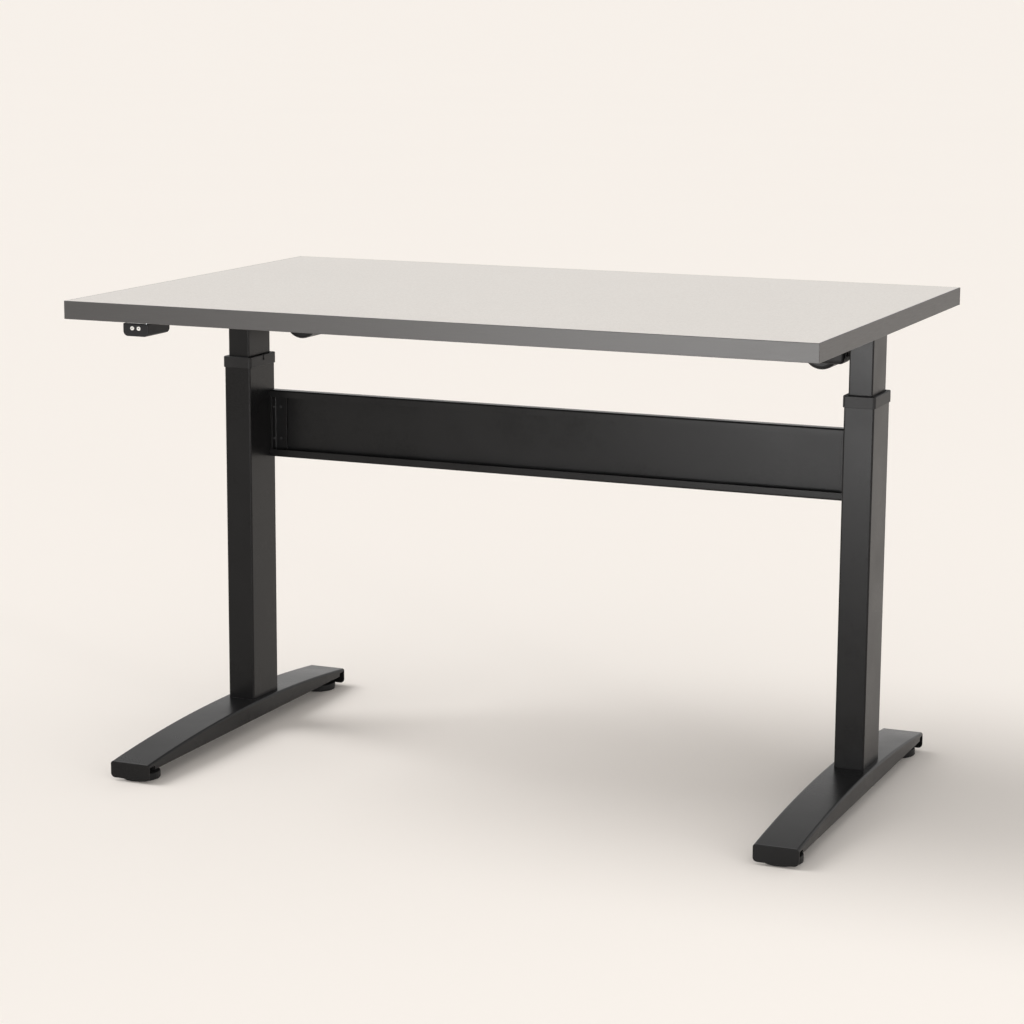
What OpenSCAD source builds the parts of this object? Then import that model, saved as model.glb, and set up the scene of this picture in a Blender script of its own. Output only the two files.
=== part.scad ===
// Height adjustable standing desk: a rectangular worktop on two telescopic
// columns, each with its own motor, worm gearbox and lifting spindle.
// Millimetres, +Z up. The origin is on the floor under the middle of the top.
// +X runs along the front edge to the user's right, +Y away from the user.
// The right half is drawn and mirrored for the left half.

/* [Worktop] */
// Length of the worktop along X
top_w = 1200; // [1000:10:1600]
// Depth of the worktop along Y
top_d = 790; // [680:5:950]
// Thickness of the worktop
top_t = 28; // [22:0.5:36]
// Thickness of the high-pressure laminate on top
laminate_t = 0.8; // [0.5:0.1:1.5]
// Thickness of the balancing sheet underneath
backer_t = 0.6; // [0.4:0.1:1.2]
// Thickness of the edge band
band_t = 2; // [1:0.5:3]
// Width of the eased arris of the edge band
band_ease = 0.8; // [0.3:0.1:0.9]

/* [Height] */
// Height of the worktop's surface as the desk stands
desk_h = 772; // [640:1:930]
// How far the worktop can go down from there
travel_down = 72; // [40:1:75]
// Height of inner column seen between the collar and the worktop
reveal = 106.5; // [95:0.5:130]

/* [Columns] */
// Width of the lower column
col_w = 48; // [46:0.5:60]
// Depth of the lower column
col_d = 88; // [84:0.5:106]
// Wall of the lower column
col_wall = 2; // [1.5:0.1:2.5]
// Outer corner radius of the lower column
col_r = 3; // [2.6:0.1:5]
// Column's centre from the worktop's end
col_inset = 63.6; // [56:0.1:77]
// Column's centre behind the worktop's centre
col_back = 81; // [60:1:98]
// Play between the lower column's inside and the upper column, each side
col_gap = 3; // [2.4:0.1:3.6]
// Extra play front and back
col_gap_y = 4; // [3.4:0.1:5]
// Wall of the upper column
inner_wall = 2; // [1.5:0.1:2.4]
// Least length of column that stays overlapped at full height
overlap = 120; // [116:1:140]

/* [Collar] */
// How far the collar stands out from the lower column
collar_out = 2; // [1.5:0.1:3]
// Height of the collar
collar_h = 18.5; // [15:0.5:22]
// Thickness of the collar's top lip
collar_lip = 4.5; // [3:0.1:6]

/* [Feet] */
// Width of a foot
foot_w = 70; // [66:1:84]
// Length of a foot
foot_len = 698; // [590:1:780]
// Height of the foot's top at its ends
foot_end_h = 31; // [29:0.5:37]
// Height of the foot's top at its middle
foot_mid_h = 49.5; // [46:0.5:56]
// Foot's centre behind the worktop's centre
foot_back = 13; // [5:1:25]
// Sheet thickness of a foot
foot_wall = 3; // [2:0.5:3.5]
// Height of the side flanges' lower edge
flange_z = 20; // [19:0.5:22]
// Height of the end flaps' lower edge
flap_z = 4.7; // [3:0.1:7]
// Bend radius along the foot's long edges
foot_r = 4; // [4:0.5:7]
// Glide's centre from the foot's end
glide_in = 36; // [35:1:48]
// Radius of a glide pad
glide_r = 30.5; // [26:0.5:31.5]
// How far a glide can be screwed out
glide_travel = 8; // [5:1:8]

/* [Crossbar] */
// Height of the crossbar
bar_h = 114; // [95:1:140]
// Depth of the crossbar
bar_d = 20; // [18:0.5:26]
// Height of its two front lips
lip_h = 12.3; // [9:0.1:16]
// Sheet thickness of the crossbar
bar_wall = 2; // [1.5:0.1:3]
// Collar's top down to the crossbar's top
bar_drop = 63; // [45:1:90]
// Crossbar's back in front of the column's back
bar_set = 1; // [0:0.5:8]

/* [Drive] */
// Radius of the motor housing
motor_r = 30; // [26:0.5:30]
// Length of the motor housing
motor_len = 150; // [110:5:180]
// Motor's axis inboard of the column's centre
motor_off = 83.2; // [81:0.2:90]
// Motor's axis under the worktop
motor_drop = 49.5; // [49.5:0.5:55]
// Worm axis to worm wheel axis
worm_dist = 29; // [27:0.5:30]
// Pitch radius of the worm
worm_r = 9; // [7:0.5:10]
// Radius of the lifting screw
screw_r = 7; // [6:0.5:8]
// Height of the head tray that holds the gears
tray_h = 17; // [16:0.5:19]

/* [Handset] */
// Width of the handset
hand_w = 44; // [38:1:60]
// Height of the handset
hand_h = 21.5; // [19:0.5:28]
// Depth of the handset
hand_d = 66; // [50:1:80]
// Handset's centre from the worktop's left end
hand_in = 121.3; // [95:1:200]
// Handset's face behind the worktop's front edge
hand_set = 7; // [3:1:25]

/* [Control box] */
// Length of the control box
ctrl_w = 260; // [200:5:300]
// Depth of the control box
ctrl_d = 92; // [84:1:120]
// Height of the control box
ctrl_h = 36; // [30:1:45]

/* [Hidden] */
$fn = 48;

// Clearances
run_gap = 0.05;       // shaft in its bearing, on the radius
slide_gap = 0.3;      // flat sliding faces
free_gap = 0.5;       // parts that only pass each other
eps = 0.01;           // overshoot of a cut

// Heights
under_z = desk_h - top_t;
collar_top = under_z - reveal;
lower_top = collar_top - collar_lip;
collar_bot = collar_top - collar_h;
tray_z = under_z - tray_h;

// Foot and column base
plate_t = 6;
block_t = 20;
col_bot = flange_z + plate_t;
block_top = col_bot + block_t;
foot_rise = foot_mid_h - foot_end_h;
foot_arc = (pow(foot_len / 2, 2) + pow(foot_rise, 2)) / (2 * foot_rise);
arc_fn = 1440;        // the foot's arch has a very long radius
plate_len = col_d + 50;
flange_stop = 20;
flap_r = 7;
bolt_r = 4;
bolt_head_r = 6.5;
bolt_head_h = 5;
block_bolt_x = 11;
block_bolt_y = 28;

// Glides
glide_t = 13;
pad_disc_r = 12;      // flat middle of the pad, inside the ring groove
stud_r = 4;
stud_hex = 7.5;
stud_neck_z = 4;
hex_h = 2.6;
insert_r = 8;
insert_bot = glide_t + hex_h + slide_gap;
insert_h = 15;
stud_top = insert_bot + insert_h - 1;

// Columns and guides
col_x = top_w / 2 - col_inset;
inner_w = col_w - 2 * col_wall - 2 * col_gap + 0.4;
inner_d = col_d - 2 * col_wall - 2 * col_gap_y;
inner_r = 2.6;
shoe_h = 50;
bush_h = 60;
inner_bot = block_top + 4 + travel_down;
travel_up = lower_top - overlap - inner_bot;
seat_gap = 0.1;       // a part held in another of the same body

// Spindle, nut and push tube
screw_bot = inner_bot + 40;
nut_h = 30;
nut_bot = screw_bot + travel_up + 3;
nut_r = min(15, inner_w / 2 - inner_wall - 1.5);
push_r = nut_r - 3;
push_wall = 3;
journal_r = screw_r - 1;
bearing_r = 14;
bearing_h = 8;
head_h = 40;
head_bot = tray_z - head_h;
bearing_z = head_bot + 13;
shoulder_h = 2;
shoulder_r = screw_r + 1.5;

// Gears
gear_z = tray_z + 4;
gear_h = 8;
lay_x = col_x - motor_off + worm_dist;
gear_span = col_x - lay_x;
spindle_teeth = 24;
lay_teeth = 62;
gear_mod = 2 * gear_span / (spindle_teeth + lay_teeth);
spindle_gear_r = gear_mod * spindle_teeth / 2;
lay_gear_r = gear_mod * lay_teeth / 2;
wheel_teeth = 32;
wheel_r = worm_dist - worm_r;
wheel_h = 14;
mesh_gap = 0.15;      // the teeth are cut back to the pitch line
worm_len = 26;
lay_shaft_r = 4;

// Tray
tray_wall = 2.5;
tray_lip = 20;
tray_front = col_back - 281;
tray_back = col_back + 219;
tray_in = lay_x - lay_gear_r - 2 - tray_wall;
tray_out = col_x + inner_w / 2 + 0.6;
lip_screw_y = [tray_front + 25, col_back - 95, col_back + 95, tray_back - 25];

// Gearbox and motor
motor_x = col_x - motor_off;
motor_z = under_z - motor_drop;
motor_front = col_back + 24;
box_wall = 2.5;
box_in = motor_x - worm_r - 6 - box_wall;
box_out = lay_x + wheel_r + 1.2 + box_wall;
box_front = col_back - 24;
box_bot = motor_z - worm_r - 2.5 - box_wall;
can_wall = 2;
rotor_r = motor_r * 0.58;
motor_shaft_r = 3;
cap_h = 8;

// Crossbar
bar_top = collar_top - bar_drop;
bar_bot = bar_top - bar_h;
bar_back_y = col_back + col_d / 2 - bar_set;
bar_front_y = bar_back_y - bar_d;
bar_half = col_x - col_w / 2;
end_t = 4;
end_len = 26;
end_gap = 0.2;
bar_bolt_r = 2.5;
bar_bolt_z = [bar_bot + 30, bar_top - 30];

// Worktop
core_w = top_w - 2 * band_t;
core_d = top_d - 2 * band_t;
wood_screw_r = 2;
wood_screw_len = 16;

// Handset
hand_x = -top_w / 2 + hand_in;
hand_y = -top_d / 2 + hand_set;
hand_plate = 2;
hand_wall = 2;
button_span = 11.2;
button_r = 3.2;
button_z = under_z - 9;
button_out = 1;
button_travel = 0.8;
handset_r = 8;

// Control box
ctrl_y = top_d / 2 - 130;
ctrl_bot = under_z - ctrl_h;
ctrl_wall = 2.2;
ctrl_lug = 14;
ctrl_screw_r = 2.2;

black_steel = [0.07, 0.07, 0.075];
dark_plastic = [0.10, 0.10, 0.105];
zinc = [0.72, 0.73, 0.75];
steel = [0.55, 0.56, 0.58];
acetal = [0.90, 0.89, 0.86];
edge_grey = [0.30, 0.29, 0.28];
top_grey = [0.84, 0.82, 0.80];
board_brown = [0.66, 0.52, 0.36];
board_green = [0.08, 0.32, 0.18];

// ---------- shared shapes ----------

// Rounded rectangle of true arcs, centred
module rrect(w, d, r) {
    square([w - 2 * r, d], center = true);
    square([w, d - 2 * r], center = true);
    for (x = [-1, 1], y = [-1, 1])
        translate([x * (w / 2 - r), y * (d / 2 - r)])
            circle(r = r);
}

// Rectangular tube standing on z0
module box_tube(w, d, r, wall, z0, z1) {
    translate([0, 0, z0])
        linear_extrude(z1 - z0)
            difference() {
                rrect(w, d, r);
                rrect(w - 2 * wall, d - 2 * wall, max(r - wall, 0.4));
            }
}

// Ring of true cylinders standing on z0
module ring(r_out, r_in, z0, z1) {
    translate([0, 0, z0])
        difference() {
            cylinder(r = r_out, h = z1 - z0);
            translate([0, 0, -1])
                cylinder(r = r_in, h = z1 - z0 + 2);
        }
}

// Machine screw: head below, shank upward, along +Z from the head's seat
module bolt(r, len, head_r, head_h, socket_r) {
    difference() {
        union() {
            translate([0, 0, -eps])
                cylinder(r = r, h = len + eps);
            translate([0, 0, -head_h])
                cylinder(r = head_r, h = head_h);
        }
        translate([0, 0, -head_h - 1])
            cylinder(r = socket_r, h = head_h * 0.6 + 1, $fn = 6);
    }
}

// Spur gear drawn to its pitch line, with square-cut tooth spaces
module spur(r, teeth, h, bore) {
    space = PI * r / teeth;
    difference() {
        cylinder(r = r - mesh_gap, h = h);
        for (i = [0:teeth - 1])
            rotate(i * 360 / teeth)
                translate([r - 1.2, -space / 2, -1])
                    cube([3, space, h + 2]);
        translate([0, 0, -1])
            cylinder(r = bore, h = h + 2);
    }
}

module at_column() {
    translate([col_x, col_back, 0])
        children();
}

module both_sides() {
    children();
    mirror([1, 0, 0])
        children();
}

// ---------- feet ----------

// Inverted U section of the pressed foot, hung from its top at y = 0
module foot_section() {
    deep = foot_mid_h;
    difference() {
        union() {
            translate([-foot_w / 2 + foot_r, -foot_r])
                square([foot_w - 2 * foot_r, foot_r]);
            for (s = [-1, 1])
                translate([s * (foot_w / 2 - foot_r), -foot_r])
                    circle(r = foot_r);
            translate([-foot_w / 2, -deep])
                square([foot_w, deep - foot_r]);
        }
        inner_r2 = foot_r - foot_wall;
        half = foot_w / 2 - foot_wall;
        translate([-half, -deep - 1])
            square([2 * half, deep + 1 - foot_r]);
        translate([-half + inner_r2, -foot_r - eps])
            square([2 * (half - inner_r2), inner_r2 + eps]);
        for (s = [-1, 1])
            translate([s * (half - inner_r2), -foot_r])
                circle(r = inner_r2);
    }
}

// Arched channel: the section swung about an axis far below the floor
module foot_channel() {
    swing = asin((foot_len / 2 + 4) / foot_arc);
    intersection() {
        translate([0, 0, foot_mid_h - foot_arc])
            rotate([90, 0, 90])
                rotate([0, 0, 90 - swing])
                    rotate_extrude(angle = 2 * swing, $fn = arc_fn)
                        translate([foot_arc, 0])
                            rotate(-90)
                                foot_section();
        translate([-foot_w, -foot_len / 2, flange_z])
            cube([2 * foot_w, foot_len, foot_mid_h]);
    }
}

// End flap, bent down from the top, with rounded lower corners
module foot_flap() {
    shoulder = foot_end_h - foot_r - 1;
    tuck = foot_w / 2 - foot_wall + 0.5;
    translate([0, foot_len / 2, 0])
        rotate([90, 0, 0])
            linear_extrude(foot_wall) {
                translate([-foot_w / 2 + flap_r, flap_z])
                    square([foot_w - 2 * flap_r, flap_r + eps]);
                translate([-foot_w / 2, flap_z + flap_r])
                    square([foot_w, shoulder - flap_z - flap_r]);
                translate([-tuck, shoulder - eps])
                    square([2 * tuck, foot_end_h - foot_wall + 0.5 - shoulder]);
                for (s = [-1, 1])
                    translate([s * (foot_w / 2 - flap_r), flap_z + flap_r])
                        circle(r = flap_r);
            }
}

module foot() {
    column_y = col_back - foot_back;
    color(black_steel)
        translate([col_x, foot_back, 0])
            difference() {
                union() {
                    difference() {
                        foot_channel();
                        for (s = [-1, 1])
                            translate([0, s * (foot_len / 2 - flange_stop / 2), flange_z])
                                cube([2 * foot_w, flange_stop + eps,
                                    2 * (foot_end_h - flange_z - foot_r - 1)], center = true);
                    }
                    foot_flap();
                    mirror([0, 1, 0])
                        foot_flap();
                    translate([-foot_w / 2 + foot_wall - eps, column_y - plate_len / 2, flange_z])
                        cube([foot_w - 2 * foot_wall + 2 * eps, plate_len, plate_t]);
                }
                translate([0, column_y, col_bot])
                    linear_extrude(foot_mid_h)
                        rrect(col_w + 2 * free_gap, col_d + 2 * free_gap, col_r + free_gap);
                for (x = [-1, 1], y = [-1, 1])
                    translate([x * block_bolt_x, column_y + y * block_bolt_y, 0])
                        cylinder(r = bolt_r + 0.3, h = col_bot + 1);
                translate([0, column_y, 0])
                    cylinder(r = bolt_r + 0.3, h = col_bot + 1);
            }
}

module foot_left() {
    mirror([1, 0, 0])
        foot();
}

module foot_right() {
    foot();
}

// Threaded block that plugs the lower column's end
module column_blocks() {
    color(steel)
        both_sides()
            at_column()
                translate([0, 0, col_bot])
                    difference() {
                        linear_extrude(block_t)
                            rrect(col_w - 2 * col_wall, col_d - 2 * col_wall, 1);
                        for (x = [-1, 1], y = [-1, 1])
                            translate([x * block_bolt_x, y * block_bolt_y, -1])
                                cylinder(r = bolt_r, h = block_t + 2);
                        translate([0, 0, -1])
                            cylinder(r = bolt_r, h = block_t + 2);
                    }
}

module foot_bolts() {
    color(zinc)
        both_sides()
            at_column()
                translate([0, 0, flange_z])
                    for (x = [-1, 1], y = [-1, 1])
                        translate([x * block_bolt_x, y * block_bolt_y, 0])
                            bolt(bolt_r, plate_t + block_t - 1, bolt_head_r, bolt_head_h, 3);
}

// ---------- glides ----------

module glide_places() {
    for (s = [-1, 1])
        translate([col_x, foot_back + s * (foot_len / 2 - glide_in), 0])
            children();
}

// Underside of the foot's top skin at a glide
glide_arm = foot_len / 2 - glide_in;
skin_z = foot_mid_h - foot_wall - (foot_arc - sqrt(pow(foot_arc, 2) - pow(glide_arm + insert_r, 2)));

module glide_inserts() {
    color(zinc)
        both_sides()
            glide_places()
                ring(insert_r, stud_r + run_gap, insert_bot, skin_z);
}

module glide_pad(side, end) {
    color(dark_plastic)
        translate([side * col_x, foot_back + end * (foot_len / 2 - glide_in), 0])
            difference() {
                rotate_extrude($fn = 96)
                    difference() {
                        union() {
                            square([glide_r - 2, glide_t - 1]);
                            translate([0, 1])
                                square([glide_r, glide_t - 4]);
                            square([glide_r - 10, glide_t]);
                        }
                        translate([pad_disc_r, -eps])
                            square([glide_r - 8 - pad_disc_r, 1]);
                    }
                translate([0, 0, stud_neck_z - slide_gap])
                    cylinder(r = stud_r + run_gap, h = glide_t);
            }
}

module glide_pad_front_left() glide_pad(-1, -1);
module glide_pad_front_right() glide_pad(1, -1);
module glide_pad_rear_left() glide_pad(-1, 1);
module glide_pad_rear_right() glide_pad(1, 1);

module glide_stud(side, end) {
    color(zinc)
        translate([side * col_x, foot_back + end * (foot_len / 2 - glide_in), 0]) {
            translate([0, 0, stud_neck_z])
                cylinder(r = stud_r, h = min(stud_top, skin_z) - stud_neck_z);
            translate([0, 0, glide_t + slide_gap / 2])
                cylinder(r = stud_hex, h = hex_h, $fn = 6);
        }
}

module glide_stud_front_left() glide_stud(-1, -1);
module glide_stud_front_right() glide_stud(1, -1);
module glide_stud_rear_left() glide_stud(-1, 1);
module glide_stud_rear_right() glide_stud(1, 1);

// ---------- columns ----------

module column_lower() {
    color(black_steel)
        at_column()
            difference() {
                box_tube(col_w, col_d, col_r, col_wall, col_bot, lower_top);
                for (z = bar_bolt_z)
                    translate([-col_w / 2 - 1, bar_back_y - bar_d / 2 - col_back, z])
                        rotate([0, 90, 0])
                            cylinder(r = bar_bolt_r, h = col_wall + 2);
            }
}

module column_lower_left() {
    mirror([1, 0, 0])
        column_lower();
}

module column_lower_right() {
    column_lower();
}

// Moulded collar that caps the lower column and wipes the upper one
module collar() {
    out_w = col_w + 2 * collar_out;
    out_d = col_d + 2 * collar_out;
    notch = 3;
    color(dark_plastic)
        at_column()
            difference() {
                translate([0, 0, collar_bot])
                    linear_extrude(collar_h)
                        rrect(out_w, out_d, col_r + collar_out);
                translate([0, 0, collar_bot - 1])
                    linear_extrude(lower_top - collar_bot + 1)
                        rrect(col_w, col_d, col_r);
                translate([0, 0, collar_bot])
                    linear_extrude(collar_h + 1)
                        rrect(inner_w + 2 * slide_gap, inner_d + 2 * slide_gap, inner_r + slide_gap);
                for (s = [-1, 1])
                    translate([s * out_w / 2, 0, collar_top])
                        cube([1.2, notch, 2 * notch], center = true);
            }
}

module collar_left() {
    mirror([1, 0, 0])
        collar();
}

module collar_right() {
    collar();
}

module guide_bushes() {
    color(acetal)
        both_sides()
            at_column()
                translate([0, 0, lower_top - bush_h])
                    linear_extrude(bush_h)
                        difference() {
                            rrect(col_w - 2 * col_wall, col_d - 2 * col_wall, col_r - col_wall);
                            rrect(inner_w + 2 * slide_gap, inner_d + 2 * slide_gap, inner_r + slide_gap);
                        }
}

module column_upper() {
    color(black_steel)
        at_column()
            box_tube(inner_w, inner_d, inner_r, inner_wall, inner_bot, tray_z);
}

module column_upper_left() {
    mirror([1, 0, 0])
        column_upper();
}

module column_upper_right() {
    column_upper();
}

module slide_shoes() {
    play = 2 * (col_wall + slide_gap);
    color(acetal)
        both_sides()
            at_column()
                translate([0, 0, inner_bot])
                    difference() {
                        translate([0, 0, -2])
                            linear_extrude(shoe_h + 2)
                                rrect(col_w - play, col_d - play, 1);
                        linear_extrude(shoe_h + 1)
                            rrect(inner_w, inner_d, inner_r);
                        translate([0, 0, -3])
                            cylinder(r = push_r + 1.5, h = 4);
                    }
}

// ---------- crossbar ----------

module bar_profile() {
    difference() {
        translate([bar_front_y, bar_bot])
            square([bar_d, bar_h]);
        translate([bar_front_y + bar_wall, bar_bot + bar_wall])
            square([bar_d - 2 * bar_wall, bar_h - 2 * bar_wall]);
        translate([bar_front_y - 1, bar_bot + lip_h])
            square([bar_wall + 2, bar_h - 2 * lip_h]);
    }
}

module crossbar() {
    hole_z = bar_bolt_z;
    color(black_steel)
        difference() {
            rotate([90, 0, 90])
                translate([0, 0, -bar_half + end_gap])
                    linear_extrude(2 * (bar_half - end_gap))
                        bar_profile();
            for (s = [-1, 1], z = hole_z)
                translate([s * (bar_half - end_len / 2 - 2), bar_back_y - bar_wall - 1, z])
                    rotate([-90, 0, 0])
                        cylinder(r = bar_bolt_r, h = bar_wall + 2);
        }
}

// Angle that bolts the crossbar's end to the column
module crossbar_ends() {
    h = bar_h - 2 * bar_wall - 4;
    deep = bar_d - 2 * bar_wall - 1;
    y1 = bar_back_y - bar_wall;
    color(black_steel)
        both_sides()
            difference() {
                translate([bar_half, 0, bar_bot + bar_wall + 2])
                    union() {
                        translate([-end_t, y1 - deep, 0])
                            cube([end_t, deep, h]);
                        translate([-end_len, y1 - end_t, 0])
                            cube([end_len, end_t, h]);
                    }
                for (z = bar_bolt_z) {
                    translate([bar_half - end_t - 1, bar_back_y - bar_d / 2, z])
                        rotate([0, 90, 0])
                            cylinder(r = bar_bolt_r, h = end_t + 2);
                    translate([bar_half - end_len / 2 - 2, y1 - end_t - 1, z])
                        rotate([-90, 0, 0])
                            cylinder(r = bar_bolt_r, h = end_t + 2);
                }
            }
}

module crossbar_bolts() {
    color(dark_plastic)
        both_sides()
            for (z = bar_bolt_z) {
                translate([bar_half - end_t, bar_back_y - bar_d / 2, z])
                    rotate([0, 90, 0])
                        bolt(bar_bolt_r, end_t + col_wall - end_gap, 4, 2, 1.5);
                translate([bar_half - end_len / 2 - 2, bar_back_y, z])
                    rotate([90, 0, 0])
                        bolt(bar_bolt_r, bar_wall + end_t + 1, 4.5, 2, 1.5);
            }
}

// ---------- lifting gear in the columns ----------

module push_tubes() {
    color(steel)
        both_sides()
            at_column()
                ring(push_r, push_r - push_wall, block_top, nut_bot);
}

module drive_nuts() {
    color(acetal)
        both_sides()
            at_column()
                union() {
                    ring(nut_r, screw_r + run_gap, nut_bot, nut_bot + nut_h);
                    ring(push_r - push_wall, screw_r + run_gap, nut_bot - 2.5, nut_bot + 1);
                }
}

module head_blocks() {
    color(steel)
        both_sides()
            at_column()
                difference() {
                    translate([0, 0, head_bot])
                        linear_extrude(head_h)
                            rrect(inner_w - 2 * inner_wall, inner_d - 2 * inner_wall, 0.6);
                    translate([0, 0, head_bot - 1])
                        cylinder(r = bearing_r, h = bearing_z + bearing_h - head_bot + 1);
                    cylinder(r = journal_r + 2, h = desk_h);
                    for (s = [-1, 1])
                        translate([0, s * 26, tray_z - 18])
                            cylinder(r = 3, h = 20);
                }
}

module spindle_bearings() {
    color(steel)
        both_sides()
            at_column()
                ring(bearing_r, journal_r + run_gap, bearing_z, bearing_z + bearing_h);
}

module head_screws() {
    color(zinc)
        both_sides()
            at_column()
                for (s = [-1, 1])
                    translate([0, s * 26, tray_z + tray_wall])
                        rotate([180, 0, 0])
                            bolt(3, 18, 5, 3, 2.2);
}

// Lifting screw with its gear on top; the thread is drawn as its outside
module spindle() {
    color(steel)
        at_column() {
            translate([0, 0, screw_bot])
                cylinder(r = screw_r, h = bearing_z - shoulder_h - screw_bot);
            translate([0, 0, bearing_z - shoulder_h - run_gap])
                cylinder(r = shoulder_r, h = shoulder_h);
            translate([0, 0, bearing_z - shoulder_h - 0.1])
                cylinder(r = journal_r, h = gear_z + gear_h + 1 - bearing_z + shoulder_h + 0.1);
            translate([0, 0, gear_z])
                spur(spindle_gear_r, spindle_teeth, gear_h, journal_r - 1);
        }
}

module spindle_left() {
    mirror([1, 0, 0])
        spindle();
}

module spindle_right() {
    spindle();
}

// ---------- head trays, gearboxes and motors ----------

module support_tray() {
    mid = (tray_in + tray_out) / 2;
    half = (tray_out - tray_in) / 2;
    color(black_steel)
        difference() {
            union() {
                translate([tray_in, tray_front, tray_z])
                    cube([tray_out - tray_in, tray_back - tray_front, tray_wall]);
                for (x = [tray_in, tray_out - tray_wall])
                    translate([x, tray_front, tray_z])
                        cube([tray_wall, tray_back - tray_front, tray_h]);
                for (x = [tray_in - tray_lip, tray_out - tray_wall])
                    translate([x, tray_front, under_z - tray_wall])
                        cube([tray_lip + tray_wall, tray_back - tray_front, tray_wall]);
            }
            at_column() {
                cylinder(r = journal_r + 2, h = desk_h);
                for (s = [-1, 1])
                    translate([0, s * 26, 0])
                        cylinder(r = 3.3, h = desk_h);
            }
            translate([lay_x, col_back, 0])
                cylinder(r = lay_shaft_r + 4, h = under_z - 5);
            for (s = [-1, 1], y = lip_screw_y)
                translate([mid + s * (half + tray_lip / 2), y, under_z - 10])
                    cylinder(r = wood_screw_r + 0.3, h = 20);
        }
}

module support_tray_left() {
    mirror([1, 0, 0])
        support_tray();
}

module support_tray_right() {
    support_tray();
}

module tray_screws() {
    mid = (tray_in + tray_out) / 2;
    half = (tray_out - tray_in) / 2;
    color(zinc)
        both_sides()
            for (s = [-1, 1], y = lip_screw_y)
                translate([mid + s * (half + tray_lip / 2), y, under_z - tray_wall])
                    bolt(wood_screw_r, wood_screw_len + tray_wall, 4.5, 2.2, 1.6);
}

// Cast gearbox under the tray: worm in front of the motor, wheel beside it
module gearbox() {
    front = box_front;
    deep = motor_front - front;
    color(dark_plastic)
        difference() {
            translate([box_in, front, box_bot])
                cube([box_out - box_in, deep, tray_z - box_bot]);
            translate([box_in + box_wall, front + box_wall, box_bot + box_wall])
                cube([box_out - box_in - 2 * box_wall, deep - 2 * box_wall,
                    tray_z - box_bot - 2 * box_wall]);
            translate([lay_x, col_back, box_bot - 1])
                cylinder(r = lay_shaft_r + 2, h = tray_z);
            translate([motor_x, front - 1, motor_z])
                rotate([-90, 0, 0])
                    cylinder(r = motor_shaft_r + 2, h = deep + 2);
        }
}

module gearbox_left() {
    mirror([1, 0, 0])
        gearbox();
}

module gearbox_right() {
    gearbox();
}

// Plain bushes of the layshaft and of the worm's front journal
module gear_bushes() {
    color(acetal)
        both_sides() {
            translate([lay_x, col_back, 0]) {
                ring(lay_shaft_r + 2, lay_shaft_r + run_gap, box_bot, box_bot + box_wall);
                ring(lay_shaft_r + 2, lay_shaft_r + run_gap, tray_z - box_wall, tray_z);
            }
            for (y = [box_front, motor_front - box_wall])
                translate([motor_x, y, motor_z])
                    rotate([-90, 0, 0])
                        ring(motor_shaft_r + 2, motor_shaft_r + run_gap, 0, box_wall);
        }
}

// Worm wheel and large gear on one upright shaft
module layshaft() {
    color(steel)
        translate([lay_x, col_back, 0]) {
            translate([0, 0, box_bot + 0.5])
                cylinder(r = lay_shaft_r, h = gear_z + gear_h + 1 - box_bot - 0.5);
            translate([0, 0, motor_z - wheel_h / 2])
                spur(wheel_r, wheel_teeth, wheel_h, lay_shaft_r - 1);
            translate([0, 0, gear_z])
                spur(lay_gear_r, lay_teeth, gear_h, lay_shaft_r - 1);
        }
}

module layshaft_left() {
    mirror([1, 0, 0])
        layshaft();
}

module layshaft_right() {
    layshaft();
}

// Motor shaft with rotor and ring-grooved worm
module rotor() {
    grooves = 6;
    step = worm_len / grooves;
    color(steel)
        translate([motor_x, 0, motor_z])
            rotate([-90, 0, 0]) {
                translate([0, 0, box_front + 0.5])
                    cylinder(r = motor_shaft_r,
                        h = motor_front + motor_len - cap_h / 2 - box_front - 0.5);
                translate([0, 0, col_back - worm_len / 2])
                    difference() {
                        cylinder(r = worm_r - mesh_gap, h = worm_len);
                        for (i = [0:grooves - 1])
                            translate([0, 0, (i + 0.25) * step])
                                ring(worm_r + 1, worm_r - 1.2, 0, step / 2);
                    }
                translate([0, 0, motor_front + 20])
                    cylinder(r = rotor_r, h = motor_len - 50);
            }
}

module rotor_left() {
    mirror([1, 0, 0])
        rotor();
}

module rotor_right() {
    rotor();
}

module motor_housing() {
    edge = 6;
    color(dark_plastic)
        translate([motor_x, motor_front, motor_z])
            rotate([-90, 0, 0])
                rotate_extrude($fn = 96)
                    difference() {
                        union() {
                            translate([0, edge])
                                square([motor_r, motor_len - cap_h - edge]);
                            square([motor_r - edge, edge + eps]);
                            translate([motor_r - edge, edge])
                                circle(r = edge);
                        }
                        translate([-motor_r, -motor_r])
                            square([motor_r, 2 * motor_len]);
                        translate([0, can_wall])
                            square([motor_r - can_wall - 3, motor_len]);
                        translate([0, edge])
                            square([motor_r - can_wall, motor_len]);
                        translate([0, -1])
                            square([motor_shaft_r + 2, can_wall + 2]);
                    }
}

module motor_housing_left() {
    mirror([1, 0, 0])
        motor_housing();
}

module motor_housing_right() {
    motor_housing();
}

module motor_caps() {
    color(dark_plastic)
        both_sides()
            translate([motor_x, motor_front + motor_len - cap_h, motor_z])
                rotate([-90, 0, 0])
                    difference() {
                        union() {
                            cylinder(r = motor_r, h = cap_h);
                            translate([0, 0, -4])
                                cylinder(r = motor_r - can_wall, h = 4 + eps);
                        }
                        translate([0, 0, -5])
                            cylinder(r = motor_shaft_r + run_gap, h = cap_h / 2 + 5.5);
                    }
}

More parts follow.
